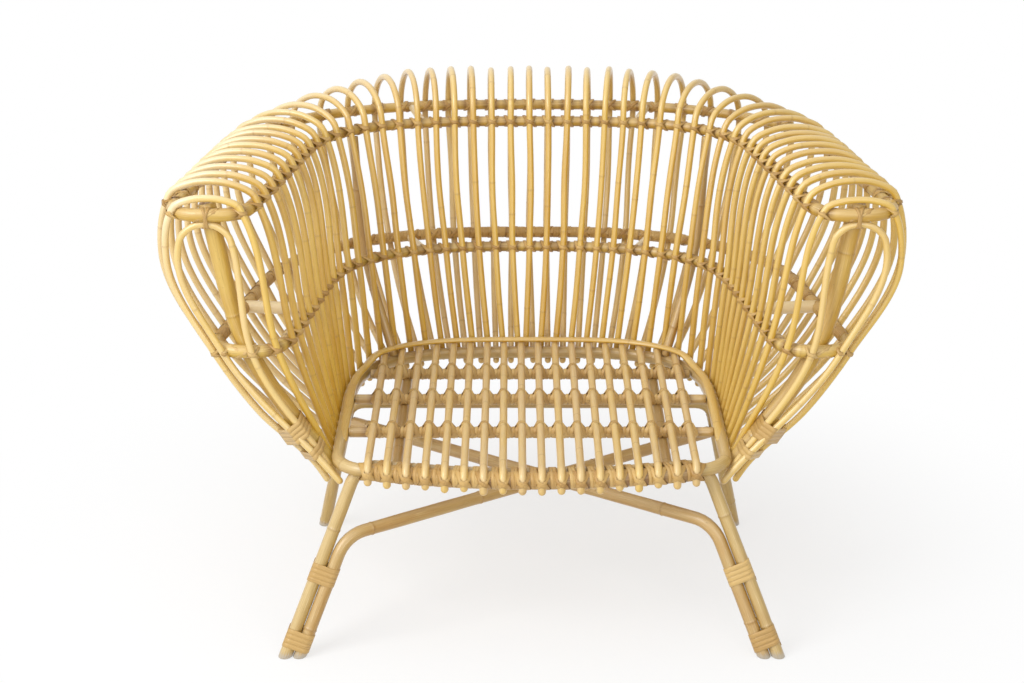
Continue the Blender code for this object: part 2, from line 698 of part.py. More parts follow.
def hairpin_poles(index):
    """Poles that a hairpin is bound to, from its inner foot to its outer foot."""
    rail_gap = RAIL_R + ROD_R + CLEARANCE
    outer_gap = rail_gap * BEND_ALLOWANCE
    hoop_gap = HOOP_R + ROD_R + CLEARANCE
    if index == HAIRPINS_PER_SIDE:
        foot = HOOP.t_at_y(LAST_FOOT_Y)
        foot_pole = (HOOP.at(foot, HOOP_Z), HOOP.tangent(foot), HOOP.outward(foot), hoop_gap)
        middle = arm_front(MIDDLE, MIDDLE_SPACING, MIDDLE_Z)[0]
        upper = arm_front(UPPER, UPPER_SPACING, UPPER_Z)[0]
        return (foot_pole, bend_seat(middle[0], rail_gap), bend_seat(upper[0], rail_gap),
                bend_seat(upper[1], outer_gap), bend_seat(middle[1], outer_gap), foot_pole)
    t = hairpin_t(index)
    apart = foot_offset(index)
    return (
        (HOOP.at(t - apart, HOOP_Z), HOOP.tangent(t - apart), HOOP.outward(t - apart), hoop_gap),
        (MIDDLE.at(t, MIDDLE_Z), MIDDLE.tangent(t), -MIDDLE.outward(t), rail_gap),
        (UPPER.at(t, UPPER_Z), UPPER.tangent(t), -UPPER.outward(t), rail_gap),
        (outer_point(UPPER, UPPER_SPACING, t, UPPER_Z), outer_tangent(UPPER, UPPER_SPACING, t),
         UPPER.outward(t), outer_gap),
        (outer_point(MIDDLE, MIDDLE_SPACING, t, MIDDLE_Z), outer_tangent(MIDDLE, MIDDLE_SPACING, t),
         MIDDLE.outward(t), outer_gap),
        (HOOP.at(t + apart, HOOP_Z), HOOP.tangent(t + apart), HOOP.outward(t + apart), hoop_gap),
    )


def hairpin_line(index):
    """One rod: up the seat side of the inner rails, over in a loop and down outside the outer rails."""
    t = min(hairpin_t(index), 1.0)
    poles = hairpin_poles(index)
    rise = LAST_LOOP_RISE if index == HAIRPINS_PER_SIDE else loop_rise(t)
    seats = [centre + side * gap for centre, along, side, gap in poles]
    for _ in range(4):
        arch = loop_arch(seats[2], seats[3], rise)
        belly = 0.5 * (seats[3] + seats[4]) + UPPER.outward(t) * blend(BELLY_OUT, t)
        belly[2] = UPPER_Z - BELLY_DROP
        knee = 0.5 * (seats[4] + seats[5]) + MIDDLE.outward(t) * np.interp(t, KNEE_AT, KNEE_OUT)
        courses = (seats[1] - seats[0], seats[2] - seats[0], arch[0] - seats[1],
                   arch[-1] - belly, belly - knee, knee - seats[5])
        seats = [seat_beside(pole[0], pole[1], unit(course), pole[2], pole[3])
                 for pole, course in zip(poles, courses)]
        outer_foot = seats[5] - unit(knee - seats[5]) * FOOT_PAST
        if index == HAIRPINS_PER_SIDE:
            seats[5], course = outside_arm_post()
            outer_foot = seats[5] - course * ARM_FOOT_PAST
    inner_foot = seats[0] - unit(seats[1] - seats[0]) * FOOT_PAST
    line = [inner_foot, *seats[1:3], *arch, seats[3], belly, seats[4], knee, seats[5], outer_foot]
    return smooth(line, [1, 1] + [1] * (len(arch) + 1) + [1, 2, 1, 1, 1])


def loop_arch(inner, outer, rise):
    """Points of a half ellipse from the inner to the outer rail."""
    centre = 0.5 * (inner + outer)
    angles = np.radians(LOOP_ANGLES)
    return [centre + 0.5 * (inner - outer) * np.cos(turn) + UP * rise * np.sin(turn) for turn in angles]


def make_hairpins(material):
    """The fan of hairpins, numbered from the left arm front round to the right."""
    for number in range(2 * HAIRPINS_PER_SIDE + 1):
        index = number - HAIRPINS_PER_SIDE
        line = hairpin_line(abs(index))
        if index < 0:
            line = mirrored(line)
        name = f"hairpin_{number + 1:02d}"
        tube(name, line, ROD_R, ROD_SIDES, material, tilt=EDGE_ON)


def before_arm_front(x):
    """Centre of a rod that stands against the front of the middle cross piece at a given x."""
    line = np.vstack(arm_front(MIDDLE, MIDDLE_SPACING, MIDDLE_Z)[0])
    along = np.gradient(line, axis=0)
    side = np.array([np.interp(x, line[:, 0], along[:, 1]), -np.interp(x, line[:, 0], along[:, 0]), 0.0])
    centre = np.array([x, np.interp(x, line[:, 0], line[:, 1]), MIDDLE_Z])
    return centre + unit(side) * (RAIL_R + ROD_R + CLEARANCE)


def front_loop_line():
    """Right front loop: a hairpin across the arm front, hung under the upper cross piece."""
    middle_x = MIDDLE.at(MIDDLE.t_at_y(CROSS_Y), 0.0)[0]
    upper_x = UPPER.at(UPPER.t_at_y(CROSS_Y), 0.0)[0] + 0.5 * UPPER_SPACING[1]
    wide_z = UPPER_Z - RAIL_R - ROD_R - CLEARANCE - FRONT_LOOP_HEAD
    wide = [np.array([upper_x + side * FRONT_LOOP_HALF, CROSS_Y, wide_z]) for side in (-1, 1)]
    arch = loop_arch(*wide, FRONT_LOOP_HEAD)
    waist = [before_arm_front(middle_x + out) for out in FRONT_LOOP_WAIST]
    feet = []
    for y, knee in zip(FRONT_LOOP_FOOT_Y, waist):
        t = HOOP.t_at_y(y)
        centre = HOOP.at(t, HOOP_Z)
        seat = seat_beside(centre, HOOP.tangent(t), unit(knee - centre), HOOP.outward(t),
                           HOOP_R + ROD_R + CLEARANCE)
        feet.append([seat - unit(knee - seat) * ARM_FOOT_PAST, seat])
    line = [*feet[0], waist[0], wide[0], *arch, wide[1], waist[1], *feet[1][::-1]]
    return smooth(line, [1, 2, 3] + [1] * (len(arch) + 1) + [3, 2, 1])


def make_front_loops(material):
    """Left and right front loops."""
    line = front_loop_line()
    tube("right_front_loop", line, ROD_R, ROD_SIDES, material, tilt=EDGE_ON)
    tube("left_front_loop", mirrored(line), ROD_R, ROD_SIDES, material, tilt=EDGE_ON)


def centre_front_to_back():
    """Stand the chair with the middle of its depth over the origin."""
    bpy.context.view_layer.update()
    graph = bpy.context.evaluated_depsgraph_get()
    reach = []
    for part in PARTS.objects:
        mesh = bpy.data.meshes.new_from_object(part.evaluated_get(graph))
        reach += [(part.matrix_world @ vertex.co).y for vertex in mesh.vertices]
        bpy.data.meshes.remove(mesh)
    shift = -0.5 * (min(reach) + max(reach))
    for part in PARTS.objects:
        part.location.y += shift
    print("depth centred by, m:", round(shift, 6))


for leftover in list(bpy.data.objects):
    bpy.data.objects.remove(leftover)
PARTS = bpy.data.collections.new("Rattan Chair")
bpy.context.scene.collection.children.link(PARTS)

POLE_CANE = new_material("pole_cane", (0.71, 0.49, 0.20), 0.32)
ROD_CANE = new_material("rod_cane", (0.76, 0.56, 0.25), 0.28)
DECK_CANE = new_material("deck_cane", (0.77, 0.58, 0.33), 0.34)

make_seat_hoop(POLE_CANE)
make_seat_deck(DECK_CANE)
make_legs(POLE_CANE)
make_braces(POLE_CANE)
make_arm_posts(POLE_CANE)
make_rails(POLE_CANE)
make_hairpins(ROD_CANE)
make_front_loops(ROD_CANE)
centre_front_to_back()
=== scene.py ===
"""Rattan lounge chair: bent cane poles and hairpin rods, bound with split cane, on a pale studio floor."""

import bpy
import numpy as np
from bpy.props import FloatProperty, FloatVectorProperty, IntProperty, PointerProperty
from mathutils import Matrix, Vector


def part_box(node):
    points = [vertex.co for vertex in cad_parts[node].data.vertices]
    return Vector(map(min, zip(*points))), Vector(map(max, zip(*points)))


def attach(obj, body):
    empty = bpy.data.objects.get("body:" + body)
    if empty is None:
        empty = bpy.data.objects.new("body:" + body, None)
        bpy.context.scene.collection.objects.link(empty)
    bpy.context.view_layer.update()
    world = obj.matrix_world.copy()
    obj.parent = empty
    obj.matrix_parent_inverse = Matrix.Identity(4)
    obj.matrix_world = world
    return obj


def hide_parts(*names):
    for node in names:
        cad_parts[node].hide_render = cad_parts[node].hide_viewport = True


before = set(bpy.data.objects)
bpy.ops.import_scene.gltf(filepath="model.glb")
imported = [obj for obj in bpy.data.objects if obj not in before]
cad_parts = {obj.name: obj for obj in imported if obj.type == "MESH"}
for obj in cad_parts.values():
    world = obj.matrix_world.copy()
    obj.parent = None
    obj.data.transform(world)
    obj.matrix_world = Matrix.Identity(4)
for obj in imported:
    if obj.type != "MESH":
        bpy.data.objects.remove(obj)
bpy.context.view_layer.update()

bl_info = {
    "name": "Rattan Lounge Chair",
    "version": (1, 0, 0),
    "blender": (4, 5, 0),
    "location": "View3D > Sidebar > Rattan",
    "description": "Builds a bound rattan chair piece by piece on its packed frame",
    "category": "Object",
}

# Lines and levels of the frame, in metres; the chair faces -Y and y is measured as in the frame's plan.

# Radii of rods and poles, room between pieces that touch, how far nailed pieces sink in, and the wider gap
# that a rod needs where it bends over an outer rail
ROD_R = 0.0048
RAIL_R = 0.0085
HOOP_R = 0.0100
FRONT_RAIL_R = 0.0125
CROSS_RAIL_R = 0.0080
BEARER_R = 0.0090
RIM_R = 0.0040
LEG_R = 0.0100
ARM_POST_R = 0.0110
BACK_POST_R = 0.0078
CLEARANCE = 0.0003
SINK = 0.0012
BEND_ALLOWANCE = 1.07
# Heights of the hoop and of both pairs of rails, and the spacing of the pairs at the back and at the arms
HOOP_Z = 0.285
MIDDLE_Z = 0.457
UPPER_Z = 0.668
MIDDLE_SPACING = (0.086, 0.103)
UPPER_SPACING = (0.124, 0.114)
# Seat: its front line and corners, the rails and bearers under it, its rods, and the strip on the hoop
HOOP_HALF_WIDTH = 0.294
SEAT_FRONT_Y = -0.250
SEAT_BOW = 0.034
SEAT_CORNER_R = 0.058
SEAT_CORNER_LEAD = 0.065
FRONT_RAIL_PAST = 0.004
CROSS_RAIL_Y = (-0.100, 0.045, 0.165)
BEARER_X = 0.205
SEAT_ROD_COUNT = 18
SEAT_ROD_EDGE = 0.0492
SEAT_ROD_TAIL = 0.016
RIM_RAMP = 0.060
RIM_SINK_FROM = 0.55
RIM_FLATNESS = 1.8
RIM_INSET = 0.0030
# Arm fronts: depth of the cross pieces, radius of their bends, and the place of the spreaders
CROSS_Y = -0.200
FRONT_BEND_R = 0.045
SPREADER_T = 0.78
# Hairpins: how many, how their pitch grows, their rise over the rails, belly, knee and feet
HAIRPINS_PER_SIDE = 23
LAST_FOOT_Y = -0.1645
LAST_LOOP_RISE = 0.022
PITCH_GROWTH = 0.125
PITCH_POWER = 3.55
LOOP_RISE_BACK = 0.075
LOOP_RISE_FRONT = 0.034
LOOP_RISE_TURN = 0.37
LOOP_RISE_POWER = 6.0
LOOP_UNEVEN = 0.0018
LOOP_ANGLES = (24.0, 62.0, 90.0, 118.0, 156.0)
BELLY_DROP = 0.075
BELLY_OUT = (0.012, 0.040)
KNEE_AT = (0.0, 0.5, 1.0)
KNEE_OUT = (0.004, 0.020, 0.014)
FOOT_PAST = 0.014
ARM_FOOT_PAST = 0.028
# Front loops: height of the head, half width, places of the waist along the cross piece, and feet
FRONT_LOOP_HEAD = 0.0364
FRONT_LOOP_HALF = 0.040
FRONT_LOOP_WAIST = (0.038, 0.0755)
FRONT_LOOP_FOOT_Y = (-0.2065, -0.2195)
# Back posts: the hairpin after which they stand, and their room behind the middle rail
BACK_POST_GAP = 9
BACK_POST_STANDOFF = 0.0005
# Legs, braces and their lashings
FRONT_LEG_CORNER_X = 0.262
FRONT_FOOT = (0.374, -0.296)
FRONT_LEG_BEND_R = 0.038
REAR_LEG_Y = 0.125
REAR_LEG_CORNER_X = 0.298
REAR_FOOT = (0.352, 0.200)
REAR_LEG_BEND_R = 0.030
BRACE_BEND_Z = 0.190
BRACE_BEND_R = 0.050
BRACE_REAR_Z = 0.207
LASHING_Z = (0.030, 0.128)
LASHING_TURNS = 4
LASHING_PITCH = 0.0073

# Reach in t over which a line's direction is taken, points along the inner and the outer lines, and rounds in
# which a rod's seats and bends settle
TANGENT_REACH = 0.004
INNER_STEPS = 220
OUTER_STEPS = 240
SEAT_ROUNDS = 4

# Draws of unevenness: figures of the large sine, a salt for each kind of draw, and how far apart the draws of
# two pieces begin, the seat rods' tails by the metre between them
JITTER = (12.9898, 78.233, 43758.5453)
RISE_DRAW, BELLY_DRAW, LEAN_DRAW, BELLY_LEAN_DRAW = 1, 2, 3, 4
FIRST_RING_DRAW, RING_DRAW, TONE_DRAW, STRIP_TONE_DRAW, WANDER_DRAW, RADIUS_DRAW = 5, 6, 7, 8, 9, 10
CLIMB_DRAW, SWING_DRAW, WIDTH_DRAW, TAIL_DRAW = 11, 14, 19, 21
RING_STRIDE, STRIP_STRIDE, KNOT_STRIDE, WANDER_STRIDE, CROSS_RAIL_STRIDE = 17.0, 31.0, 57.0, 13.0, 20
TAIL_STRIDE = 1000.0

UP = np.array([0.0, 0.0, 1.0])
SIDEWAYS = np.array([1.0, 0.0, 0.0])
FORWARD = np.array([0.0, -1.0, 0.0])

# Photograph's frame, and the lens and stand that match its viewing angle
IMAGE_WIDTH = 1024
FOCAL_PIXELS = 2268.0
CAMERA_PITCH = 19.2
CAMERA_PLACE = (-0.0299, -3.4941, 1.5827)


# ---------------------------------------------------------------- lines of the chair

class Plan:
    """A D-shaped line seen from above.

    A superellipse round the back, |x|^n + |y|^n = 1 scaled to the half width and the corner depth, then
    straight arms; x grows with the distance from the back by the tangent of the splay. t runs by length
    from 0 at mid back to 1 at the last hairpin, negative on the left.
    """

    STEPS = 600

    def __init__(self, back_y, half_width, corner_depth, squareness, splay_degrees, last_y):
        angle = np.linspace(0.0, np.pi / 2.0, self.STEPS)
        power = 2.0 / squareness
        x = np.append(half_width * np.sin(angle) ** power, half_width)
        y = np.append(back_y - corner_depth + corner_depth * np.cos(angle) ** power, last_y)
        self.x = x + np.tan(np.radians(splay_degrees)) * (back_y - y)
        self.y = y
        self.run = np.append(0.0, np.cumsum(np.hypot(np.diff(self.x), np.diff(y))))
        self.length = self.run[-1]
        self.end = unit(np.array([self.x[-1] - self.x[-2], y[-1] - y[-2]]))

    def at(self, t, z):
        """Points at the places t; beyond the last hairpin the arm runs on straight."""
        t = np.asarray(t, float)
        run = np.abs(t) * self.length
        past = np.maximum(0.0, run - self.length)
        x = np.interp(run, self.run, self.x) + past * self.end[0]
        y = np.interp(run, self.run, self.y) + past * self.end[1]
        return np.stack([np.sign(t) * x, y, np.broadcast_to(z, t.shape)], axis=-1)

    def tangent(self, t):
        """Level directions along the line, towards growing t."""
        return unit(self.at(np.asarray(t) + TANGENT_REACH, 0.0) - self.at(np.asarray(t) - TANGENT_REACH, 0.0))

    def outward(self, t):
        """Level directions away from the seat."""
        along = self.tangent(t)
        return np.stack([-along[..., 1], along[..., 0], 0.0 * along[..., 0]], axis=-1)

    def t_at_y(self, y):
        """Place where the right arm passes a given y."""
        if y < self.y[-1]:
            return 1.0 + (self.y[-1] - y) / abs(self.end[1]) / self.length
        return np.interp(-y, -self.y, self.run) / self.length

    def y_at_x(self, x):
        """How far back the line lies at a given x, on its rear part."""
        return np.interp(abs(x), self.x[:self.STEPS], self.y[:self.STEPS])


def unit(vectors):
    """Vectors of length one."""
    return vectors / np.linalg.norm(vectors, axis=-1, keepdims=True)


HOOP = Plan(back_y=0.284, half_width=HOOP_HALF_WIDTH, corner_depth=0.284, squareness=3.4, splay_degrees=0.0,
            last_y=-0.142)
MIDDLE = Plan(back_y=0.343, half_width=0.310, corner_depth=0.250, squareness=2.7, splay_degrees=7.125,
              last_y=-0.158)
UPPER = Plan(back_y=0.379, half_width=0.336, corner_depth=0.250, squareness=3.1, splay_degrees=8.531,
             last_y=-0.158)

SEAT_ROD_PITCH = 2.0 * (HOOP_HALF_WIDTH - SEAT_ROD_EDGE) / (SEAT_ROD_COUNT - 1)
SEAT_ROD_X = (np.arange(SEAT_ROD_COUNT) - 0.5 * (SEAT_ROD_COUNT - 1)) * SEAT_ROD_PITCH
FRONT_RAIL_HALF = SEAT_ROD_X[-1] + ROD_R + FRONT_RAIL_PAST
SEAT_ROD_Z = HOOP_Z + HOOP_R + ROD_R + CLEARANCE
FRONT_RAIL_Z = SEAT_ROD_Z - ROD_R - FRONT_RAIL_R + SINK
CROSS_RAIL_Z = SEAT_ROD_Z - ROD_R - CROSS_RAIL_R + SINK
BEARER_Z = CROSS_RAIL_Z - CROSS_RAIL_R - BEARER_R + SINK
FRONT_LEG_BEHIND = (FRONT_RAIL_R + LEG_R + CLEARANCE) * np.hypot(1.0, 2.0 * SEAT_BOW / SEAT_ROD_X[-1])
FRONT_LEG_Z = FRONT_RAIL_Z
REAR_LEG_Z = BEARER_Z - BEARER_R - LEG_R - CLEARANCE

# The frame stands over the origin, so plan depths move by what the arm posts show
POST_Y = CROSS_Y + RAIL_R + ARM_POST_R + CLEARANCE
DEPTH_SHIFT = 0.5 * sum(corner[1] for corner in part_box("left_arm_post")) - POST_Y


def jitter(number, salt):
    """Repeatable unevenness from -1 to 1: the fractional part of a large sine; the salt tells draws apart."""
    value = np.sin(np.asarray(number, float) * JITTER[0] + salt * JITTER[1]) * JITTER[2]
    return 2.0 * (value - np.floor(value)) - 1.0


def blend(pair, t):
    """Value between a back and a front figure."""
    return pair[0] + (pair[1] - pair[0]) * np.minimum(np.abs(t), 1.0)


def mirrored(points):
    """The same points on the other side of the chair."""
    return np.asarray(points) * np.array([-1.0, 1.0, 1.0])


def both_sides(half):
    """A line that starts at the middle, completed by its mirror image."""
    return np.vstack([mirrored(half[:0:-1]), half])


def arc_length(points):
    """Distance of each point along a line."""
    return np.append(0.0, np.cumsum(np.linalg.norm(np.diff(points, axis=0), axis=1)))


def flowing(points, per_span=24):
    """Cubic Hermite curve through points, its slopes from the neighbours' distances."""
    points = np.asarray(points)
    run = arc_length(points)
    slope = np.gradient(points, run, axis=0)
    u = np.linspace(0.0, 1.0, per_span, endpoint=False)[None, :, None]
    span = np.diff(run)[:, None, None]
    near, far = points[:-1, None], points[1:, None]
    leave, arrive = span * slope[:-1, None], span * slope[1:, None]
    curve = ((2 * u ** 3 - 3 * u ** 2 + 1) * near + (u ** 3 - 2 * u ** 2 + u) * leave
             + (3 * u ** 2 - 2 * u ** 3) * far + (u ** 3 - u ** 2) * arrive)
    return np.vstack([curve.reshape(-1, 3), points[-1:]])


def fillet(before, corner, after, radius, steps=14):
    """Arc of a circle that touches both straight runs of a corner."""
    back, ahead = unit(before - corner), unit(after - corner)
    half = 0.5 * np.arccos(np.clip(back @ ahead, -1.0, 1.0))
    centre = corner + unit(back + ahead) * radius / np.sin(half)
    e1 = unit(corner + back * radius / np.tan(half) - centre)
    e2 = unit(-back - e1 * (-back @ e1))
    angle = np.linspace(0.0, np.pi - 2.0 * half, steps + 1)[:, None]
    return centre + radius * (np.cos(angle) * e1 + np.sin(angle) * e2)


def outer_point(plan, spacing, t, z):
    """Points on the outer rail beside an inner rail."""
    return plan.at(t, z) + plan.outward(t) * np.asarray(blend(spacing, t))[..., None]


def outer_tangent(plan, spacing, t):
    """Level direction along an outer rail."""
    return unit(outer_point(plan, spacing, t + TANGENT_REACH, 0.0)
                - outer_point(plan, spacing, t - TANGENT_REACH, 0.0))


def seat_beside(centre, along, course, side, distance):
    """Point at a distance from a pole, square to the pole and to the rod that passes it."""
    normal = side - course * (side @ course)
    normal = normal - along * (normal @ along)
    return centre + unit(normal) * distance


def arm_front(plan, spacing, z):
    """Inner and outer bend of the right arm front, and the tip that meets the end of the outer rail."""
    inner = plan.at(plan.t_at_y(CROSS_Y), z)
    outer = inner + SIDEWAYS * spacing[1] / plan.outward(1.0)[0]
    tip = outer_point(plan, spacing, 1.0, z)
    return (fillet(plan.at(1.0, z), inner, outer, FRONT_BEND_R), fillet(inner, outer, tip, FRONT_BEND_R)), tip


def rail_path(plan, spacing, z):
    """An inner rail: the plan's line, with each end bent round the arm front to the outer rail."""
    bends, tip = arm_front(plan, spacing, z)
    return both_sides(np.vstack([plan.at(np.linspace(0.0, 1.0, INNER_STEPS), z), *bends, [tip]]))


def outer_rail_path(plan, spacing, z):
    """An outer rail: the inner line set outward by the spacing, ending where the arm fronts' bends end."""
    return both_sides(outer_point(plan, spacing, np.linspace(0.0, 1.0, OUTER_STEPS), z))


def on_arm_front(plan, spacing, z, x):
    """Centre of a cross piece at a given x, its direction, and the level side that faces forward."""
    line = np.vstack(arm_front(plan, spacing, z)[0])
    along = unit(np.gradient(line, axis=0))
    centre = np.array([x, np.interp(x, line[:, 0], line[:, 1]), z])
    along = unit(np.array([*(np.interp(x, line[:, 0], along[:, axis]) for axis in (0, 1)), 0.0]))
    return centre, along, np.array([along[1], -along[0], 0.0])


def seat_front(x):
    """Line of the front rail: a parabola between the outermost rods, level beyond them."""
    return SEAT_FRONT_Y - SEAT_BOW * (1.0 - np.minimum(np.abs(x) / SEAT_ROD_X[-1], 1.0) ** 2)


def hoop_path():
    """Seat hoop: the plan's line, with front corners rounded in to the ends of the front rail."""
    corner = HOOP.at(HOOP.t_at_y(SEAT_FRONT_Y), HOOP_Z)
    tip = np.array([SEAT_ROD_X[-1], SEAT_FRONT_Y, HOOP_Z])
    straight_end = HOOP.t_at_y(SEAT_FRONT_Y + SEAT_CORNER_LEAD)
    course = HOOP.at(np.linspace(0.0, straight_end, INNER_STEPS), HOOP_Z)
    return both_sides(np.vstack([course, fillet(course[-1], corner, tip, SEAT_CORNER_R), [tip]]))


def rim_path():
    """Thin strip over the hoop: above the rod ends at the back, eased down on to it, sunk in at the ends."""
    high = SEAT_ROD_Z + ROD_R + RIM_R + CLEARANCE
    low = HOOP_Z + HOOP_R + RIM_R - SINK
    start = HOOP.t_at_y(HOOP.y_at_x(SEAT_ROD_X[-1] + 2.0 * ROD_R))
    t = np.linspace(0.0, 1.0, OUTER_STEPS)
    ease = np.clip((t - start) / (RIM_RAMP / HOOP.length), 0.0, 1.0)
    sunk = np.clip((t - RIM_SINK_FROM) / (1.0 - RIM_SINK_FROM), 0.0, 1.0) ** 2 * 2.0 * RIM_R
    line = HOOP.at(t, high + (low - high) * ease * ease * (3.0 - 2.0 * ease) - sunk)
    return both_sides(line - HOOP.outward(t) * RIM_INSET)


def hairpin_place(index):
    """Place of a hairpin along the rails; the pitch grows a little towards the arm fronts."""
    share = index / (HAIRPINS_PER_SIDE - 1)
    return share * (1.0 - PITCH_GROWTH) + PITCH_GROWTH * share ** PITCH_POWER


def foot_offset(index):
    """Quarter of the local pitch, by which a hairpin's two feet lie apart along the hoop."""
    return 0.25 * (hairpin_place(index + 1) - hairpin_place(index))


def back_post_path():
    """A post from the top of the hoop, behind the middle rail, to the underside of the upper rail."""
    rail_t = 0.5 * (hairpin_place(BACK_POST_GAP) + hairpin_place(BACK_POST_GAP + 1))
    foot = HOOP.at(rail_t - foot_offset(BACK_POST_GAP), HOOP_Z + HOOP_R - SINK)
    beside = RAIL_R + BACK_POST_R + CLEARANCE + BACK_POST_STANDOFF
    middle = MIDDLE.at(rail_t, MIDDLE_Z) + MIDDLE.outward(rail_t) * beside
    top = UPPER.at(rail_t, UPPER_Z - RAIL_R - CLEARANCE)
    top[2] -= BACK_POST_R * np.linalg.norm((top - middle)[:2]) / (top - middle)[2]
    return flowing([foot, middle, top])


def arm_post_points():
    """Right arm post: foot, seat on the hoop's outer face, bend at the middle rails, top behind the bend."""
    middle = MIDDLE.at(MIDDLE.t_at_y(POST_Y), MIDDLE_Z) + SIDEWAYS * 0.5 * MIDDLE_SPACING[1]
    top = UPPER.at(UPPER.t_at_y(POST_Y), UPPER_Z + RAIL_R) + SIDEWAYS * 0.5 * UPPER_SPACING[1]
    hoop_t = HOOP.t_at_y(POST_Y)
    centre = HOOP.at(hoop_t, HOOP_Z)
    seat = seat_beside(centre, HOOP.tangent(hoop_t), unit(middle - centre), HOOP.outward(hoop_t),
                       HOOP_R + ARM_POST_R + CLEARANCE)
    return seat - unit(middle - seat) * FOOT_PAST, seat, middle, top


def outside_arm_post():
    """Seat of the rod that is lashed along the outside of the right arm post's foot, and its direction."""
    foot, seat = arm_post_points()[:2]
    course = unit(seat - foot)
    side = unit(SIDEWAYS - course * course[0])
    return seat + side * (ARM_POST_R + ROD_R + CLEARANCE), course


def loop_rise(t):
    """Height of a loop's top above the upper rails: high over the back, low over the arms."""
    share = 1.0 / (1.0 + (abs(t) / LOOP_RISE_TURN) ** LOOP_RISE_POWER)
    return LOOP_RISE_FRONT + (LOOP_RISE_BACK - LOOP_RISE_FRONT) * share


def loop_arch(inner, outer, rise):
    """Points of a half ellipse from the inner to the outer side."""
    turn = np.radians(LOOP_ANGLES)[:, None]
    return 0.5 * (inner + outer) + 0.5 * (inner - outer) * np.cos(turn) + UP * rise * np.sin(turn)


def bend_seat(bend, gap):
    """Middle of a bend as a pole: centre, direction, level side away from the bend's centre, gap."""
    middle = len(bend) // 2
    along = unit(bend[middle + 1] - bend[middle - 1])
    return bend[middle], along, np.array([along[1], -along[0], 0.0]), gap


def inner_pole(plan, t, z, side, gap):
    """A plan's line as a pole: centre, direction, level side on which the rod lies (1 outward), gap."""
    return plan.at(t, z), plan.tangent(t), side * plan.outward(t), gap


def outer_pole(plan, spacing, t, z, gap):
    """An outer rail as a pole, with the rod on its outer side."""
    return outer_point(plan, spacing, t, z), outer_tangent(plan, spacing, t), plan.outward(t), gap


def hairpin_poles(index):
    """Poles that a hairpin is bound to, from its inner foot to its outer foot."""
    rail_gap = RAIL_R + ROD_R + CLEARANCE
    hoop_gap = HOOP_R + ROD_R + CLEARANCE
    if index == HAIRPINS_PER_SIDE:
        foot_pole = inner_pole(HOOP, HOOP.t_at_y(LAST_FOOT_Y), HOOP_Z, 1.0, hoop_gap)
        middle = arm_front(MIDDLE, MIDDLE_SPACING, MIDDLE_Z)[0]
        upper = arm_front(UPPER, UPPER_SPACING, UPPER_Z)[0]
        return (foot_pole, bend_seat(middle[0], rail_gap), bend_seat(upper[0], rail_gap),
                bend_seat(upper[1], rail_gap), bend_seat(middle[1], rail_gap), foot_pole)
    t = hairpin_place(index)
    apart = foot_offset(index)
    return (
        inner_pole(HOOP, t - apart, HOOP_Z, 1.0, hoop_gap),
        inner_pole(MIDDLE, t, MIDDLE_Z, -1.0, rail_gap),
        inner_pole(UPPER, t, UPPER_Z, -1.0, rail_gap),
        outer_pole(UPPER, UPPER_SPACING, t, UPPER_Z, rail_gap * BEND_ALLOWANCE),
        outer_pole(MIDDLE, MIDDLE_SPACING, t, MIDDLE_Z, rail_gap * BEND_ALLOWANCE),
        inner_pole(HOOP, t + apart, HOOP_Z, 1.0, hoop_gap),
    )


def hairpin_points(number):
    """Control points of one hairpin, numbered from the left arm front, and the poles it is bound to.

    Up the seat side of the inner rails, over in a half ellipse, down outside the outer rails with a
    belly and a knee. Each row of the poles is (centre, direction, rod centre at the crossing).
    """
    index = abs(number - HAIRPINS_PER_SIDE - 1)
    t = min(hairpin_place(index), 1.0)
    poles = hairpin_poles(index)
    rise = LAST_LOOP_RISE if index == HAIRPINS_PER_SIDE else loop_rise(t)
    seats = [centre + side * gap for centre, along, side, gap in poles]
    for _ in range(SEAT_ROUNDS):
        arch = loop_arch(seats[2], seats[3], rise + LOOP_UNEVEN * jitter(number, RISE_DRAW))
        belly_out = blend(BELLY_OUT, t) + LOOP_UNEVEN * jitter(number, BELLY_DRAW)
        belly = 0.5 * (seats[3] + seats[4]) + UPPER.outward(t) * belly_out
        belly[2] = UPPER_Z - BELLY_DROP
        knee = 0.5 * (seats[4] + seats[5]) + MIDDLE.outward(t) * np.interp(t, KNEE_AT, KNEE_OUT)
        courses = (seats[1] - seats[0], seats[2] - seats[0], arch[0] - seats[1],
                   arch[-1] - belly, belly - knee, knee - seats[5])
        seats = [seat_beside(pole[0], pole[1], unit(course), pole[2], pole[3])
                 for pole, course in zip(poles, courses)]
        outer_foot = seats[5] - unit(knee - seats[5]) * FOOT_PAST
        if index == HAIRPINS_PER_SIDE:
            seats[5], course = outside_arm_post()
            outer_foot = seats[5] - course * ARM_FOOT_PAST
    inner_foot = seats[0] - unit(seats[1] - seats[0]) * FOOT_PAST
    along = UPPER.tangent(t)
    arch = arch + along * LOOP_UNEVEN * jitter(number, LEAN_DRAW) * np.sin(np.radians(LOOP_ANGLES))[:, None]
    belly = belly + along * LOOP_UNEVEN * jitter(number, BELLY_LEAN_DRAW)
    line = np.array([inner_foot, *seats[1:3], *arch, seats[3], belly, seats[4], knee, seats[5], outer_foot])
    rows = np.array([(pole[0], pole[1], seat) for pole, seat in zip(poles, seats)])
    if number <= HAIRPINS_PER_SIDE:
        return mirrored(line), mirrored(rows)
    return line, rows


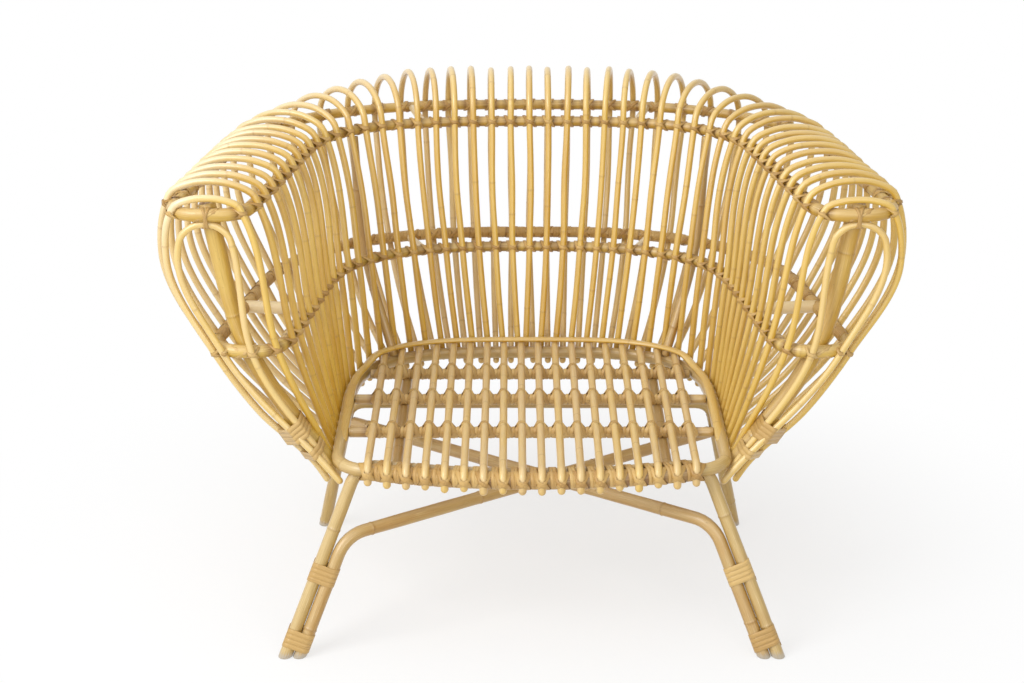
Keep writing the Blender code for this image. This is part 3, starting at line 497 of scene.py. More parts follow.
def front_loop_points():
    """Right front loop: a hairpin across the arm front, hung under the upper cross piece."""
    middle_x = MIDDLE.at(MIDDLE.t_at_y(CROSS_Y), 0.0)[0]
    upper_x = UPPER.at(UPPER.t_at_y(CROSS_Y), 0.0)[0] + 0.5 * UPPER_SPACING[1]
    wide_z = UPPER_Z - RAIL_R - ROD_R - CLEARANCE - FRONT_LOOP_HEAD
    wide = [np.array([upper_x + side * FRONT_LOOP_HALF, CROSS_Y, wide_z]) for side in (-1, 1)]
    arch = loop_arch(*wide, FRONT_LOOP_HEAD)
    waist = []
    for out in FRONT_LOOP_WAIST:
        centre, _, side = on_arm_front(MIDDLE, MIDDLE_SPACING, MIDDLE_Z, middle_x + out)
        waist.append(centre + side * (RAIL_R + ROD_R + CLEARANCE))
    feet = []
    for y, knee in zip(FRONT_LOOP_FOOT_Y, waist):
        t = HOOP.t_at_y(y)
        centre = HOOP.at(t, HOOP_Z)
        seat = seat_beside(centre, HOOP.tangent(t), unit(knee - centre), HOOP.outward(t),
                           HOOP_R + ROD_R + CLEARANCE)
        feet.append([seat - unit(knee - seat) * ARM_FOOT_PAST, seat])
    return np.array([*feet[0], waist[0], wide[0], *arch, wide[1], waist[1], *feet[1][::-1]])


def leg_hoop_path(span, corner, foot, bend_radius):
    """A leg hoop: along its span from the middle, round a bent corner and down to the floor on each side."""
    floor = np.array([foot[0], foot[1], 0.0])
    return both_sides(np.vstack([span, fillet(span[-1], corner, floor, bend_radius), [floor]]))


def front_leg_corner():
    """Where the line of the right front leg meets the bar behind the front rail."""
    return np.array([FRONT_LEG_CORNER_X, SEAT_FRONT_Y + FRONT_LEG_BEHIND, FRONT_LEG_Z])


def front_leg_axis():
    """Foot and upward direction of the right front leg."""
    foot = np.array([FRONT_FOOT[0], FRONT_FOOT[1], 0.0])
    return foot, unit(front_leg_corner() - foot)


def beside_front_leg():
    """Direction from the right front leg to the brace that is lashed to it."""
    course = front_leg_axis()[1]
    return unit(course * course[0] - SIDEWAYS)


def brace_path(lift):
    """Brace from the right front foot, up beside the leg, then bent across to the left rear leg."""
    foot, course = front_leg_axis()
    low = foot + beside_front_leg() * (2.0 * LEG_R + CLEARANCE)
    low = low - course * low[2] / course[2]
    bend = low + course * (BRACE_BEND_Z + lift) / course[2]
    rear_top = np.array([-REAR_LEG_CORNER_X, REAR_LEG_Y, REAR_LEG_Z])
    rear_foot = np.array([-REAR_FOOT[0], REAR_FOOT[1], 0.0])
    target = rear_top + (rear_foot - rear_top) * (REAR_LEG_Z - BRACE_REAR_Z - lift) / REAR_LEG_Z
    across = unit(target - bend)
    cosine = abs(across @ unit(rear_foot - rear_top))
    sine = np.sqrt(1.0 - cosine ** 2)
    end = target - across * ((LEG_R + CLEARANCE) / sine + LEG_R * cosine / sine + CLEARANCE)
    return np.vstack([[low], fillet(low, bend, end, BRACE_BEND_R), [end]])


# ---------------------------------------------------------------- surfaces

# Ends of a cane: rings of a dome and its least share of the radius, and the chamfer's share of it
END_STEPS = 6
DOME_LEAST = 0.012
CHAMFER = 0.16
# Rings of a cane: stations round each, width of the bell, place of the first and its draw as shares of the
# gap, the share by which the others stray, and the length kept free at the far end
RING_STEPS = np.array([-0.0040, -0.0020, -0.0008, 0.0, 0.0008, 0.0020, 0.0040])
RING_WIDTH = 0.0016
RING_FIRST = (0.35, 0.3)
RING_STRAY = 0.2
RING_END = 0.02
# Least distance between two stations, and the reach on both sides over which a cane's direction is taken
STATION_GAP = 0.00025
COURSE_REACH = 0.0015
# Slow unevenness of a cane: share of the radius, turn of the wave for each metre and for each cane's number
SLOW_WAVES = ((0.012, 31.0, 5.0), (0.008, 77.0, 1.0))
# Width of the stain and painted shade beside a binding, as a share of the binding's width
BOUND_SHADE_WIDTH = 0.45
# Sides of a pole's circle, and of a leg's or arm post's
POLE_SIDES = 16
LEG_SIDES = 18
# Section of a split strip: the top's share of the base when it is bound or wound, and how its corners lie
BOUND_CROWN = 0.72
WOUND_CROWN = 0.88
STRIP_PLACES = np.array([0.0, 0.3, 0.7, 1.0])
# Turns at which a crossed strip is worked out, over the rod and round the pole behind it
ROD_TURNS = np.radians([-58.0, 0.0, 58.0])
POLE_TURNS = np.radians([58.0, 92.0, 136.0, 180.0, 224.0, 268.0, 302.0])
# A crossed pair: how far the upper strip lies higher, in thicknesses, its climb along the rod in widths with
# that climb's draw, and the draws of its swing along the pole and of its width
UPPER_STRIP = 0.85
CLIMB = (0.35, 0.25)
SWING_STRAY = 0.12
WIDTH_STRAY = 0.14
# Angle in degrees above which an edge is sharp, on canes and on strips
CANE_CREASE = 55.0
STRIP_CREASE = 80.0


class Skin:
    """Arrays of one surface: points, quads, closing faces, places on the cane, and what marks its colour."""

    MARKS = ("tone", "stain", "pale", "ring")

    def __init__(self, points, quads, places, caps=(), **marks):
        self.points = points.reshape(-1, 3)
        self.quads = quads
        self.places = places
        self.caps = [list(map(int, cap)) for cap in caps]
        self.marks = {name: np.broadcast_to(np.asarray(marks.get(name, 0.0), float), len(self.points)).copy()
                      for name in self.MARKS}


def ring_faces(rows, columns, closed_rows=False):
    """Quads between neighbouring rings of a grid, wound so that they look outward."""
    i, j = np.meshgrid(np.arange(rows if closed_rows else rows - 1), np.arange(columns), indexing="ij")
    ahead, beside = (i + 1) % rows, (j + 1) % columns
    return np.stack([i * columns + j, ahead * columns + j, ahead * columns + beside, i * columns + beside],
                    axis=-1).reshape(-1, 4)


def place_on_line(line, run, points):
    """Distance along a line of the place nearest to each point."""
    apart = np.linalg.norm(line[None] - np.atleast_2d(points)[:, None], axis=-1)
    return run[np.argmin(apart, axis=1)]


def points_at(line, run, places):
    """Points of a line at distances along it, straight between its own points."""
    return np.stack([np.interp(places, run, line[:, axis]) for axis in range(3)], axis=-1)


def end_swell(distance, radius, form):
    """Share of the radius near an end: a quarter ellipse for a dome, a small chamfer for a saw cut."""
    if form == "dome":
        share = np.clip(distance / radius, 0.0, 1.0)
        return np.sqrt(np.maximum(1.0 - (1.0 - share) ** 2, DOME_LEAST))
    return 1.0 - CHAMFER * (1.0 - np.clip(distance / (CHAMFER * radius), 0.0, 1.0))


def end_stations(radius, form):
    """Distances from an end at which a dome or a chamfer needs rings."""
    if form == "dome":
        return radius * (1.0 - np.cos(np.linspace(0.0, np.pi / 2.0, END_STEPS)))
    return np.array([0.0, CHAMFER * radius])


def cane(line, radius, sides, reference, number, spacing=0.009, ends=("sawn", "sawn"), ring_gap=0.19,
         swell=0.030, pale=0.0, bound_at=None, bound_width=0.008, levels=None, girth=None, flatness=1.0):
    """A bent pole: a circle carried square to a line.

    Radius at distance s: the pole's own, times a slow unevenness, times one plus a bell at each ring of
    the cane, times the end's dome or chamfer. The circle turns about the line's direction from the side
    square to the reference. A dark bell of dirt and painted shade lies on both sides of each binding in
    bound_at. levels are the heights to which the end rings of a foot are slid along the pole. girth gives
    distances and factors between which the radius is drawn, and pale the same for how pale it is, from
    bleaching or as painted highlight, or one figure. flatness stretches the circle square to the reference.
    """
    run = arc_length(line)
    length = run[-1]
    first = ring_gap * (RING_FIRST[0] + RING_FIRST[1] * jitter(number, FIRST_RING_DRAW))
    rings = np.arange(first, length - RING_END, ring_gap)
    rings = rings + RING_STRAY * ring_gap * jitter(np.arange(len(rings)) + RING_STRIDE * number, RING_DRAW)
    stations = np.concatenate([np.linspace(0.0, length, int(np.ceil(length / spacing)) + 1),
                               (rings[:, None] + RING_STEPS).ravel(), end_stations(radius, ends[0]),
                               length - end_stations(radius, ends[1])])
    stations = np.unique(np.round(np.clip(stations, 0.0, length), 5))
    stations = np.append(stations[:-1][np.diff(stations) > STATION_GAP], length)
    centre = points_at(line, run, stations)
    ahead, behind = (points_at(line, run, stations + part) for part in (COURSE_REACH, -COURSE_REACH))
    course = unit(ahead - behind)
    side = unit(np.cross(course, reference))
    normal = np.cross(side, course)
    bell = np.exp(-((stations[:, None] - rings) / RING_WIDTH) ** 2).sum(axis=1)
    slow = sum((share * np.sin(stations * wave + turn * number) for share, wave, turn in SLOW_WAVES), 1.0)
    reach = radius * slow * (1.0 + swell * bell)
    if girth is not None:
        reach = reach * np.interp(stations, *girth)
    reach = reach * end_swell(stations, radius, ends[0]) * end_swell(length - stations, radius, ends[1])
    turn = np.linspace(0.0, 2.0 * np.pi, sides, endpoint=False)[None, :, None]
    circle = flatness * np.cos(turn) * side[:, None] + np.sin(turn) * normal[:, None]
    points = centre[:, None] + reach[:, None, None] * circle
    for row, height in (levels or {}).items():
        points[row] += course[row] * ((height - points[row, :, 2:]) / course[row, 2])
    quads = ring_faces(len(stations), sides)
    rows, columns = np.divmod(np.arange(len(stations) * sides), sides)
    place = np.stack([stations[rows], columns / sides], axis=-1)
    places = place[quads]
    places[:, 2:, 1] = places[:, :2, 1] + 1.0 / sides
    places[:, 3, 1] = places[:, 0, 1] + 1.0 / sides
    # Stain and painted shade: a dark bell on both sides of each binding, where shade gathers between rod,
    # strip and pole
    stain = 0.0 * stations
    if bound_at is not None:
        near = np.abs(stations[:, None] - place_on_line(line, run, bound_at))
        stain = np.exp(-((near - bound_width) / (BOUND_SHADE_WIDTH * bound_width)) ** 2).max(axis=1)
    last = (len(stations) - 1) * sides
    caps = [np.arange(sides), last + np.arange(sides)[::-1]]
    pale = np.interp(stations, *pale) if isinstance(pale, tuple) else pale + 0.0 * stations
    return Skin(points, quads, places, caps, tone=jitter(number, TONE_DRAW), stain=np.repeat(stain, sides),
                pale=np.repeat(pale, sides), ring=np.repeat(np.clip(bell, 0.0, 1.0), sides))


def strips(lines, normals, width, thickness, closed, number, crown=BOUND_CROWN):
    """Flat strips of split cane along lines, each with a crowned section of four corners.

    lines and normals are (count, points, 3); the section is a trapezium that stands on the line, its
    base across the direction square to the line and the normal. crown is its top's share of the base.
    """
    count, steps = lines.shape[:2]
    if closed:
        ahead, behind = np.roll(lines, -1, axis=1), np.roll(lines, 1, axis=1)
    else:
        ahead = np.concatenate([lines[:, 1:], 2 * lines[:, -1:] - lines[:, -2:-1]], axis=1)
        behind = np.concatenate([2 * lines[:, :1] - lines[:, 1:2], lines[:, :-1]], axis=1)
    course = unit(ahead - behind)
    normals = unit(normals - course * (normals * course).sum(axis=-1, keepdims=True))
    across = np.cross(course, normals)
    half = 0.5 * np.broadcast_to(width, (count,))[:, None, None]
    shape = np.array([(1.0, 0.0), (crown, 1.0), (-crown, 1.0), (-1.0, 0.0)])
    points = np.stack([lines + across * half * x + normals * thickness * y for x, y in shape], axis=2)
    one = ring_faces(steps, len(shape), closed)
    quads = (one[None] + (np.arange(count) * steps * len(shape))[:, None, None]).reshape(-1, 4)
    step = np.linalg.norm(np.diff(lines, axis=1), axis=-1)
    along = np.concatenate([np.zeros((count, 1)), np.cumsum(step, axis=1)], axis=1)
    place = np.stack(np.broadcast_arrays(along[:, :, None], STRIP_PLACES), axis=-1).reshape(-1, 2)
    caps = []
    if not closed:
        begin = np.arange(count)[:, None] * steps * len(shape) + np.arange(len(shape))
        caps = list(begin) + list((begin + (steps - 1) * len(shape))[:, ::-1])
    tone = jitter(np.arange(count) + STRIP_STRIDE * number, STRIP_TONE_DRAW)
    return Skin(points, quads, place[quads], caps, tone=np.repeat(tone, steps * len(shape)))


def cross_bindings(centre, along, rod, pole_radius, rod_radius, width, thickness, swing, number):
    """Two crossed strips at every place where a rod is bound to a pole.

    Each strip climbs over the rod on an arc about the rod, comes down beside it on to the pole and goes
    round the back of the pole on an arc about the pole, while its place along the pole swings from one
    side of the rod to the other as the sine of the turn. The second strip is the mirror image.
    """
    outward = unit(rod - centre)
    course = np.cross(outward, along)
    count = len(centre)
    number_of = np.arange(count) + KNOT_STRIDE * number
    lines, normals = [], []
    for hand, lift in ((1.0, 0.0), (-1.0, UPPER_STRIP * thickness)):
        climb = CLIMB[0] * width * (1.0 + CLIMB[1] * jitter(number_of, CLIMB_DRAW + hand))
        reach = (swing + SWING_STRAY * swing * jitter(number_of, SWING_DRAW + hand))[:, None]
        turn = ROD_TURNS[None, :, None]
        arc = np.sin(turn) * hand * along[:, None] + np.cos(turn) * outward[:, None]
        rise = (climb[:, None] * np.sin(ROD_TURNS))[..., None]
        over = rod[:, None] + (rod_radius + lift) * arc + course[:, None] * rise
        turn = POLE_TURNS[None, :, None]
        radial = np.cos(turn) * outward[:, None] + np.sin(turn) * course[:, None]
        sway = (reach * np.sin(POLE_TURNS))[..., None] * hand
        round_back = centre[:, None] + (pole_radius + lift) * radial + along[:, None] * sway
        lines.append(np.concatenate([over, round_back], axis=1))
        normals.append(np.concatenate([arc, radial], axis=1))
    widths = np.tile(width * (1.0 + WIDTH_STRAY * jitter(number_of, WIDTH_DRAW)), 2)
    return strips(np.concatenate(lines), np.concatenate(normals), widths, thickness, True, number)


def wound_round(centres, radii, origin, axis, first, turns, pitch, width, thickness, number, steps=26,
                start=0.5):
    """A strip wound tightly round a bundle of poles.

    At each turning angle the strip lies on the pole that reaches furthest that way, the greatest of
    centre . n + radius, so it is the bundle's outline carried up the axis by the pitch every turn.
    """
    axis = unit(axis)
    first = unit(first - axis * (first @ axis))
    second = np.cross(axis, first)
    flat = np.stack([(centres - origin) @ first, (centres - origin) @ second], axis=-1)
    share = np.linspace(0.0, turns, int(turns * steps) + 1)
    angle = 2.0 * np.pi * (share + start)
    facing = np.stack([np.cos(angle), np.sin(angle)], axis=-1)
    radii = np.asarray(radii)
    most = np.argmax(facing @ flat.T + radii, axis=1)
    spot = flat[most] + facing * radii[most][:, None]
    normal = facing[:, :1] * first + facing[:, 1:] * second
    line = (origin + spot[:, :1] * first + spot[:, 1:] * second
            + axis * ((share - 0.5 * turns) * pitch)[:, None])
    return strips(line[None], normal[None], width, thickness, False, number, WOUND_CROWN)


def wound_along(line, begin, end, radius, pitch, width, thickness, number, steps=12):
    """A strip wound in a screw round one pole, between two distances along its line."""
    run = arc_length(line)
    turns = (end - begin) / pitch
    share = np.linspace(0.0, 1.0, int(abs(turns) * steps) + 2)
    place = begin + (end - begin) * share
    centre = points_at(line, run, place)
    course = unit(np.gradient(centre, axis=0))
    side = unit(np.cross(course, UP))
    normal = np.cross(side, course)
    angle = (2.0 * np.pi * turns * share)[:, None]
    radial = np.cos(angle) * side + np.sin(angle) * normal
    return strips((centre + radius * radial)[None], radial[None], width, thickness, False, number)


def add_piece(name, skins, material, end_material=None, nodes=(), crease=CANE_CREASE):
    """One mesh from skins, put in the frame's depth, riding on the chair's body."""
    mesh = bpy.data.meshes.new(name)
    offsets = np.cumsum([0] + [len(skin.points) for skin in skins])
    points = np.concatenate([skin.points for skin in skins]) + np.array([0.0, DEPTH_SHIFT, 0.0])
    quads = np.concatenate([skin.quads + offset for skin, offset in zip(skins, offsets)])
    caps = [[corner + int(offset) for corner in cap]
            for skin, offset in zip(skins, offsets) for cap in skin.caps]
    mesh.from_pydata(points, [], quads.tolist() + caps)
    cap_places = np.zeros((sum(len(cap) for cap in caps), 2))
    places = np.concatenate([*(skin.places.reshape(-1, 2) for skin in skins), cap_places])
    mesh.uv_layers.new(name="cane").uv.foreach_set("vector", places.astype(np.float32).ravel())
    for mark in Skin.MARKS:
        values = np.concatenate([skin.marks[mark] for skin in skins]).astype(np.float32)
        mesh.attributes.new(mark, "FLOAT", "POINT").data.foreach_set("value", values)
    mesh.materials.append(material)
    if end_material is not None:
        mesh.materials.append(end_material)
        index = np.concatenate([np.zeros(len(quads), np.int32), np.ones(len(caps), np.int32)])
        mesh.polygons.foreach_set("material_index", index)
    mesh.shade_smooth()
    mesh.set_sharp_from_angle(angle=np.radians(crease))
    mesh.update()
    piece = bpy.data.objects.new(name, mesh)
    bpy.context.scene.collection.objects.link(piece)
    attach(piece, "root")
    if nodes:
        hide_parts(*nodes)


def add_poles(name, skins, *nodes, slot="pole_cane", skin="pole_cane_skin"):
    """Poles with sawn ends."""
    add_piece(name, skins, finish(skin), finish("end_grain"), nodes)


def add_strips(name, skins, slot, *nodes, skin="split_cane"):
    """Strips of split cane."""
    add_piece(name, skins, finish(skin), nodes=nodes, crease=STRIP_CREASE)


# ---------------------------------------------------------------- finishes

# Patterns of the cane's skin: size round the cane and along it, then the noise's scale, detail and roughness
FINE_PATTERN = (2.6, 7.0, 4.0, 4.0, 0.6)
BROAD_PATTERN = (0.5, 14.0, 1.0, 2.0, 0.5)
SPECK_PATTERN = (2.2, 160.0, 2.2, 2.0, 0.5)
# Where each mark of the skin begins and is full in its pattern, then its share at both, where not 0 and 1
PATCHES = (0.30, 0.70)
STREAKS = (0.50, 0.78)
LIGHT_STREAKS = (0.44, 0.22)
PALE_PATCHES = (0.2, 0.6, 0.45)
KEY_LIGHT_FACING = (0.25, 1.0)
HIGHLIGHT_STREAKS = (0.2, 0.7, 0.44, 0.28)
RINGS = (0.30, 0.62, 0.05, 0.38)
SPECKS = (0.70, 0.76)
BOUND_SHADE = (0.25, 0.65, 0.35, 0.95)
UNEVEN_GLOSS = (0.3, 0.8, -0.05, 0.10)
# Way towards the key light; the side of the canes that faces it is painted pale as a painted highlight
KEY_LIGHT_SIDE = (-0.38, -0.48, 0.79)
# Most that one cane is lighter or darker than another, share of light streaks, of specks, of dark marks in
# the roughness, and of streaks and dark marks in the height
TONE_SPAN = 0.48
LIGHT_STREAK_SHARE = 0.8
SPECK_SHARE = 0.55
DARK_ROUGHNESS = 0.22
FINE_HEIGHT = 0.5
DARK_HEIGHT = 0.35
# Height at which the wear of the feet begins and is full, how ragged its edge is, and the worn colour
FOOT_WEAR_Z = (0.026, 0.016)
FOOT_WEAR_RAGGED = 0.026
FOOT_WEAR = (0.480, 0.415, 0.320, 1.0)
# Steps by which the patterns of two canes and of two strips lie apart
CANE_SEED = 41.0
STRIP_SEED = 57.0
# Split cane: fibres along and across the strip, their noise, dark fibres, edges darkened as painted shade,
# tone and roughness
FIBRE_SIZE = (22.0, 9.0)
FIBRE_NOISE = (1.0, 4.0, 0.6)
DARK_FIBRES = (0.52, 0.80, 0.0, 0.55)
SHADED_EDGES = (0.30, 0.50, 0.0, 0.55)
STRIP_TONE = (-1.0, 1.0, 0.0, 0.75)
STRIP_ROUGHNESS = (0.3, 0.8, 0.42, 0.60)
# Sawn ends: scale of the pores and of the clouds, dark pores, and roughness
PORE_SCALE = 900.0
CLOUD_SCALE = 260.0
DARK_PORES = (0.42, 0.10, 0.0, 0.6)
END_ROUGHNESS = (0.3, 0.7, 0.65, 0.85)
# Coat's weight on split cane, its roughness on every finish, and the index of refraction
STRIP_COAT = 0.15
COAT_ROUGHNESS = 0.30
CANE_IOR = 1.5
# Strength and distance of the bumps
CANE_BUMP = (0.25, 0.0006)
STRIP_BUMP = (0.35, 0.0005)
END_BUMP = (0.3, 0.0004)
# Cane skins: names of the main, the deeper and the dark tone, then streaks, patches, roughness and coat
CANE_SKINS = {
    "rod_cane_skin": ("honey", "gold", "brown", 0.34, 0.85, 0.30, 0.70),
    "pole_cane_skin": ("straw", "pole", "stain", 0.55, 0.95, 0.36, 0.50),
    "rail_cane_skin": ("rail", "rail_dark", "stain", 0.45, 0.90, 0.38, 0.30),
    "deck_cane_skin": ("deck", "honey", "stain", 0.40, 0.45, 0.38, 0.45),
}
# Split canes: names of the light, the dark and the brown tone; the second split cane takes darker tones, as
# painted shade at the rails
SPLIT_CANES = {"split_cane": ("strip", "strip_dark", "stain"), "knot_cane": ("knot", "knot_dark", "stain")}


class Board:
    """A node tree that is being laid out: add nodes, set their sockets, join them."""

    # Places of the colour mix's share, of its two colours and of its result among the node's sockets
    MIX_INPUTS = (0, 6, 7)
    MIX_OUTPUT = 2

    def __init__(self, tree):
        self.tree = tree

    def add(self, kind, **values):
        """A node with the given properties and sockets set."""
        node = self.tree.nodes.new(kind)
        for key, value in values.items():
            if hasattr(node, key):
                setattr(node, key, value)
            else:
                node.inputs[key.replace("_", " ")].default_value = value
        return node

    def join(self, out, into):
        """A link."""
        self.tree.links.new(out, into)

    def feed(self, sockets, values):
        """Values set on sockets, or joined to them where they come from another node."""
        for socket, value in zip(sockets, values):
            if isinstance(value, bpy.types.NodeSocket):
                self.join(value, socket)
            else:
                socket.default_value = value

    def math(self, operation, first, second=0.0):
        """Two values worked into one."""
        node = self.add("ShaderNodeMath", operation=operation)
        self.feed(node.inputs, (first, second))
        return node.outputs[0]

    def times(self, first, second):
        """Product of two values."""
        return self.math("MULTIPLY", first, second)

    def spread(self, value, low, high, to_low=0.0, to_high=1.0):
        """A value eased from one range to another."""
        node = self.add("ShaderNodeMapRange", interpolation_type="SMOOTHSTEP")
        sockets = [node.inputs[name] for name in ("Value", "From Min", "From Max", "To Min", "To Max")]
        self.feed(sockets, (value, low, high, to_low, to_high))
        return node.outputs["Result"]

    def mix(self, share, first, second):
        """A colour between two."""
        node = self.add("ShaderNodeMix", data_type="RGBA")
        self.feed([node.inputs[place] for place in self.MIX_INPUTS], (share, first, second))
        return node.outputs[self.MIX_OUTPUT]

    def mark(self, name):
        """One of the marks that a skin carries."""
        return self.add("ShaderNodeAttribute", attribute_name=name).outputs["Fac"]

    def noise(self, vector, scale, detail=3.0, roughness=0.55):
        """Soft noise from 0 to 1."""
        node = self.add("ShaderNodeTexNoise", Scale=scale, Detail=detail, Roughness=roughness)
        self.join(vector, node.inputs["Vector"])
        return node.outputs["Fac"]

    def parts(self, vector):
        """The X, Y and Z of a vector."""
        node = self.add("ShaderNodeSeparateXYZ")
        self.join(vector, node.inputs[0])
        return node.outputs

    def vector(self, *parts):
        """A vector from its X, Y and Z."""
        node = self.add("ShaderNodeCombineXYZ")
        self.feed(node.inputs, parts)
        return node.outputs[0]

    def coordinate(self, name):
        """One of the texture coordinates."""
        return self.add("ShaderNodeTexCoord").outputs[name]

    def place(self):
        """Distance along a cane or strip (X) and share of the way round or across it (Y)."""
        return self.parts(self.add("ShaderNodeUVMap", uv_map="cane").outputs["UV"])

    def looked_at(self):
        """One where the camera, gloss or glass looks, nought for other light."""
        path = self.add("ShaderNodeLightPath").outputs
        return self.math("MAXIMUM", path["Is Camera Ray"],
                         self.math("MAXIMUM", path["Is Glossy Ray"], path["Is Transmission Ray"]))


def cane_pattern(board, round_size, length_size, *noise):
    """Noise on a cane, taken as a cylinder: its turn as a circle, its distance as the height."""
    place = board.place()
    angle = board.times(place["Y"], 2.0 * np.pi)
    seed = board.times(board.mark("tone"), CANE_SEED)
    spot = board.vector(board.times(board.math("COSINE", angle), round_size),
                        board.times(board.math("SINE", angle), round_size),
                        board.math("ADD", board.times(place["X"], length_size), seed))
    return board.noise(spot, *noise)


def cane_skin_group():
    """Node group: skin of lacquered cane.

    Fine streaks run along the cane, broad patches drift from honey to gold, rings are brown, and the places
    beside bindings darken with dirt and painted shade. Stretches that the pale mark gives are pale, from
    bleaching or, on the hairpins, as painted highlight; the side that faces the key light is pale as a
    painted highlight; and the feet are worn. Puts out a colour, a roughness and a height.
    """
    tree = bpy.data.node_groups.new("cane_skin", "ShaderNodeTree")
    for name in ("Honey", "Gold", "Brown", "Bleached"):
        tree.interface.new_socket(name, in_out="INPUT", socket_type="NodeSocketColor")
    for name in ("Streaks", "Patches", "Roughness"):
        tree.interface.new_socket(name, in_out="INPUT", socket_type="NodeSocketFloat")
    for name, kind in (("Color", "Color"), ("Roughness", "Float"), ("Height", "Float")):
        tree.interface.new_socket(name, in_out="OUTPUT", socket_type="NodeSocket" + kind)
    board = Board(tree)
    given = board.add("NodeGroupInput").outputs
    fine = cane_pattern(board, *FINE_PATTERN)
    broad = cane_pattern(board, *BROAD_PATTERN)
    speck = cane_pattern(board, *SPECK_PATTERN)
    tone = board.spread(board.mark("tone"), -1.0, 1.0, -TONE_SPAN, TONE_SPAN)
    patch = board.math("ADD", board.spread(broad, *PATCHES), tone)
    colour = board.mix(board.times(patch, given["Patches"]), given["Honey"], given["Gold"])
    colour = board.mix(board.times(board.spread(fine, *STREAKS), given["Streaks"]), colour, given["Brown"])

    light_share = board.times(given["Streaks"], LIGHT_STREAK_SHARE)
    lightly = board.times(board.spread(fine, *LIGHT_STREAKS), light_share)
    stretch = board.times(board.mark("pale"), board.spread(broad, *PALE_PATCHES))
    # Painted highlight: the side of each cane that faces the key light is mixed towards the pale tone, in
    # streaks
    facing = board.add("ShaderNodeVectorMath", operation="DOT_PRODUCT")
    board.feed(facing.inputs, (board.coordinate("Normal"), KEY_LIGHT_SIDE))
    painted_highlight = board.times(board.spread(facing.outputs["Value"], *KEY_LIGHT_FACING), board.spread(fine, *HIGHLIGHT_STREAKS))
    pale = board.math("ADD", board.math("MAXIMUM", lightly, stretch), painted_highlight)
    colour = board.mix(pale, colour, given["Bleached"])

    ring = board.times(board.mark("ring"), board.spread(fine, *RINGS))
    dots = board.times(board.spread(speck, *SPECKS), SPECK_SHARE)
    # Stain and painted shade beside the bindings, broken into streaks
    stain = board.times(board.mark("stain"), board.spread(fine, *BOUND_SHADE))
    dark = board.math("MAXIMUM", board.math("MAXIMUM", ring, dots), stain)
    colour = board.mix(dark, colour, given["Brown"])

    level = board.parts(board.coordinate("Object"))["Z"]
    ragged = board.math("ADD", level, board.times(fine, FOOT_WEAR_RAGGED))
    colour = board.mix(board.spread(ragged, *FOOT_WEAR_Z), colour, FOOT_WEAR)
    rough = board.math("ADD", given["Roughness"], board.spread(fine, *UNEVEN_GLOSS))
    rough = board.math("ADD", rough, board.times(dark, DARK_ROUGHNESS))
    height = board.math("SUBTRACT", board.times(fine, FINE_HEIGHT), board.times(dark, DARK_HEIGHT))
    leave = board.add("NodeGroupOutput").inputs
    board.feed((leave["Color"], leave["Roughness"], leave["Height"]), (colour, rough, height))
    return tree


def new_finish(name, coat):
    """An empty material with its shader's plain figures set on its own sockets."""
    material = bpy.data.materials.new(name)
    material.use_nodes = True
    shader = material.node_tree.nodes["Principled BSDF"].inputs
    for socket, value in (("Metallic", 0.0), ("IOR", CANE_IOR), ("Coat Weight", coat),
                          ("Coat Roughness", COAT_ROUGHNESS)):
        shader[socket].default_value = value
    return material, Board(material.node_tree), shader


def dress(board, shader, colour, roughness, height, bump):
    """Colour and roughness carried to the shader, and height to its normal."""
    bumps = board.add("ShaderNodeBump", Strength=bump[0], Distance=bump[1])
    board.join(height, bumps.inputs["Height"])
    board.feed((shader["Base Color"], shader["Roughness"], shader["Normal"]),
               (colour, roughness, bumps.outputs["Normal"]))


def cane_finish(name, honey, gold, brown, bleached_and_lit, streaks, patches, roughness, coat):
    """Lacquered cane skin in the given tones."""
    material, board, shader = new_finish(name, coat)
    skin = board.add("ShaderNodeGroup", node_tree=bpy.data.node_groups.get("cane_skin") or cane_skin_group())
    board.feed(skin.inputs, (honey, gold, brown, bleached_and_lit, streaks, patches, roughness))
    dress(board, shader, skin.outputs["Color"], skin.outputs["Roughness"], skin.outputs["Height"], CANE_BUMP)
    return material


def strip_finish(name, light, dark, brown):
    """Split cane: pale, with fine fibres along the strip, and edges darkened as painted shade."""
    material, board, shader = new_finish(name, STRIP_COAT)
    place = board.place()
    spot = board.vector(board.times(place["X"], FIBRE_SIZE[0]), board.times(place["Y"], FIBRE_SIZE[1]),
                        board.times(board.mark("tone"), STRIP_SEED))
    fibre = board.noise(spot, *FIBRE_NOISE)
    colour = board.mix(board.spread(board.mark("tone"), *STRIP_TONE), light, dark)
    colour = board.mix(board.spread(fibre, *DARK_FIBRES), colour, brown)
    # Painted shade: the strip darkens towards both edges, where it meets the pole or rod below
    edge = board.math("ABSOLUTE", board.math("SUBTRACT", place["Y"], 0.5))
    colour = board.mix(board.spread(edge, *SHADED_EDGES), colour, brown)
    dress(board, shader, colour, board.spread(fibre, *STRIP_ROUGHNESS), fibre, STRIP_BUMP)
    return material


def end_grain_finish(name, light, dark):
    """Sawn end of cane: grey-beige pith full of dark pores."""
    material, board, shader = new_finish(name, 0.0)
    spot = board.coordinate("Object")
    pores = board.add("ShaderNodeTexVoronoi", Scale=PORE_SCALE)
    board.join(spot, pores.inputs["Vector"])
    cloud = board.noise(spot, CLOUD_SCALE)
    hole = (*(0.5 * part for part in dark[:3]), 1.0)
    colour = board.mix(board.spread(cloud, *PATCHES), light, dark)
    colour = board.mix(board.spread(pores.outputs["Distance"], *DARK_PORES), colour, hole)
    dress(board, shader, colour, board.spread(cloud, *END_ROUGHNESS), pores.outputs["Distance"], END_BUMP)
    return material


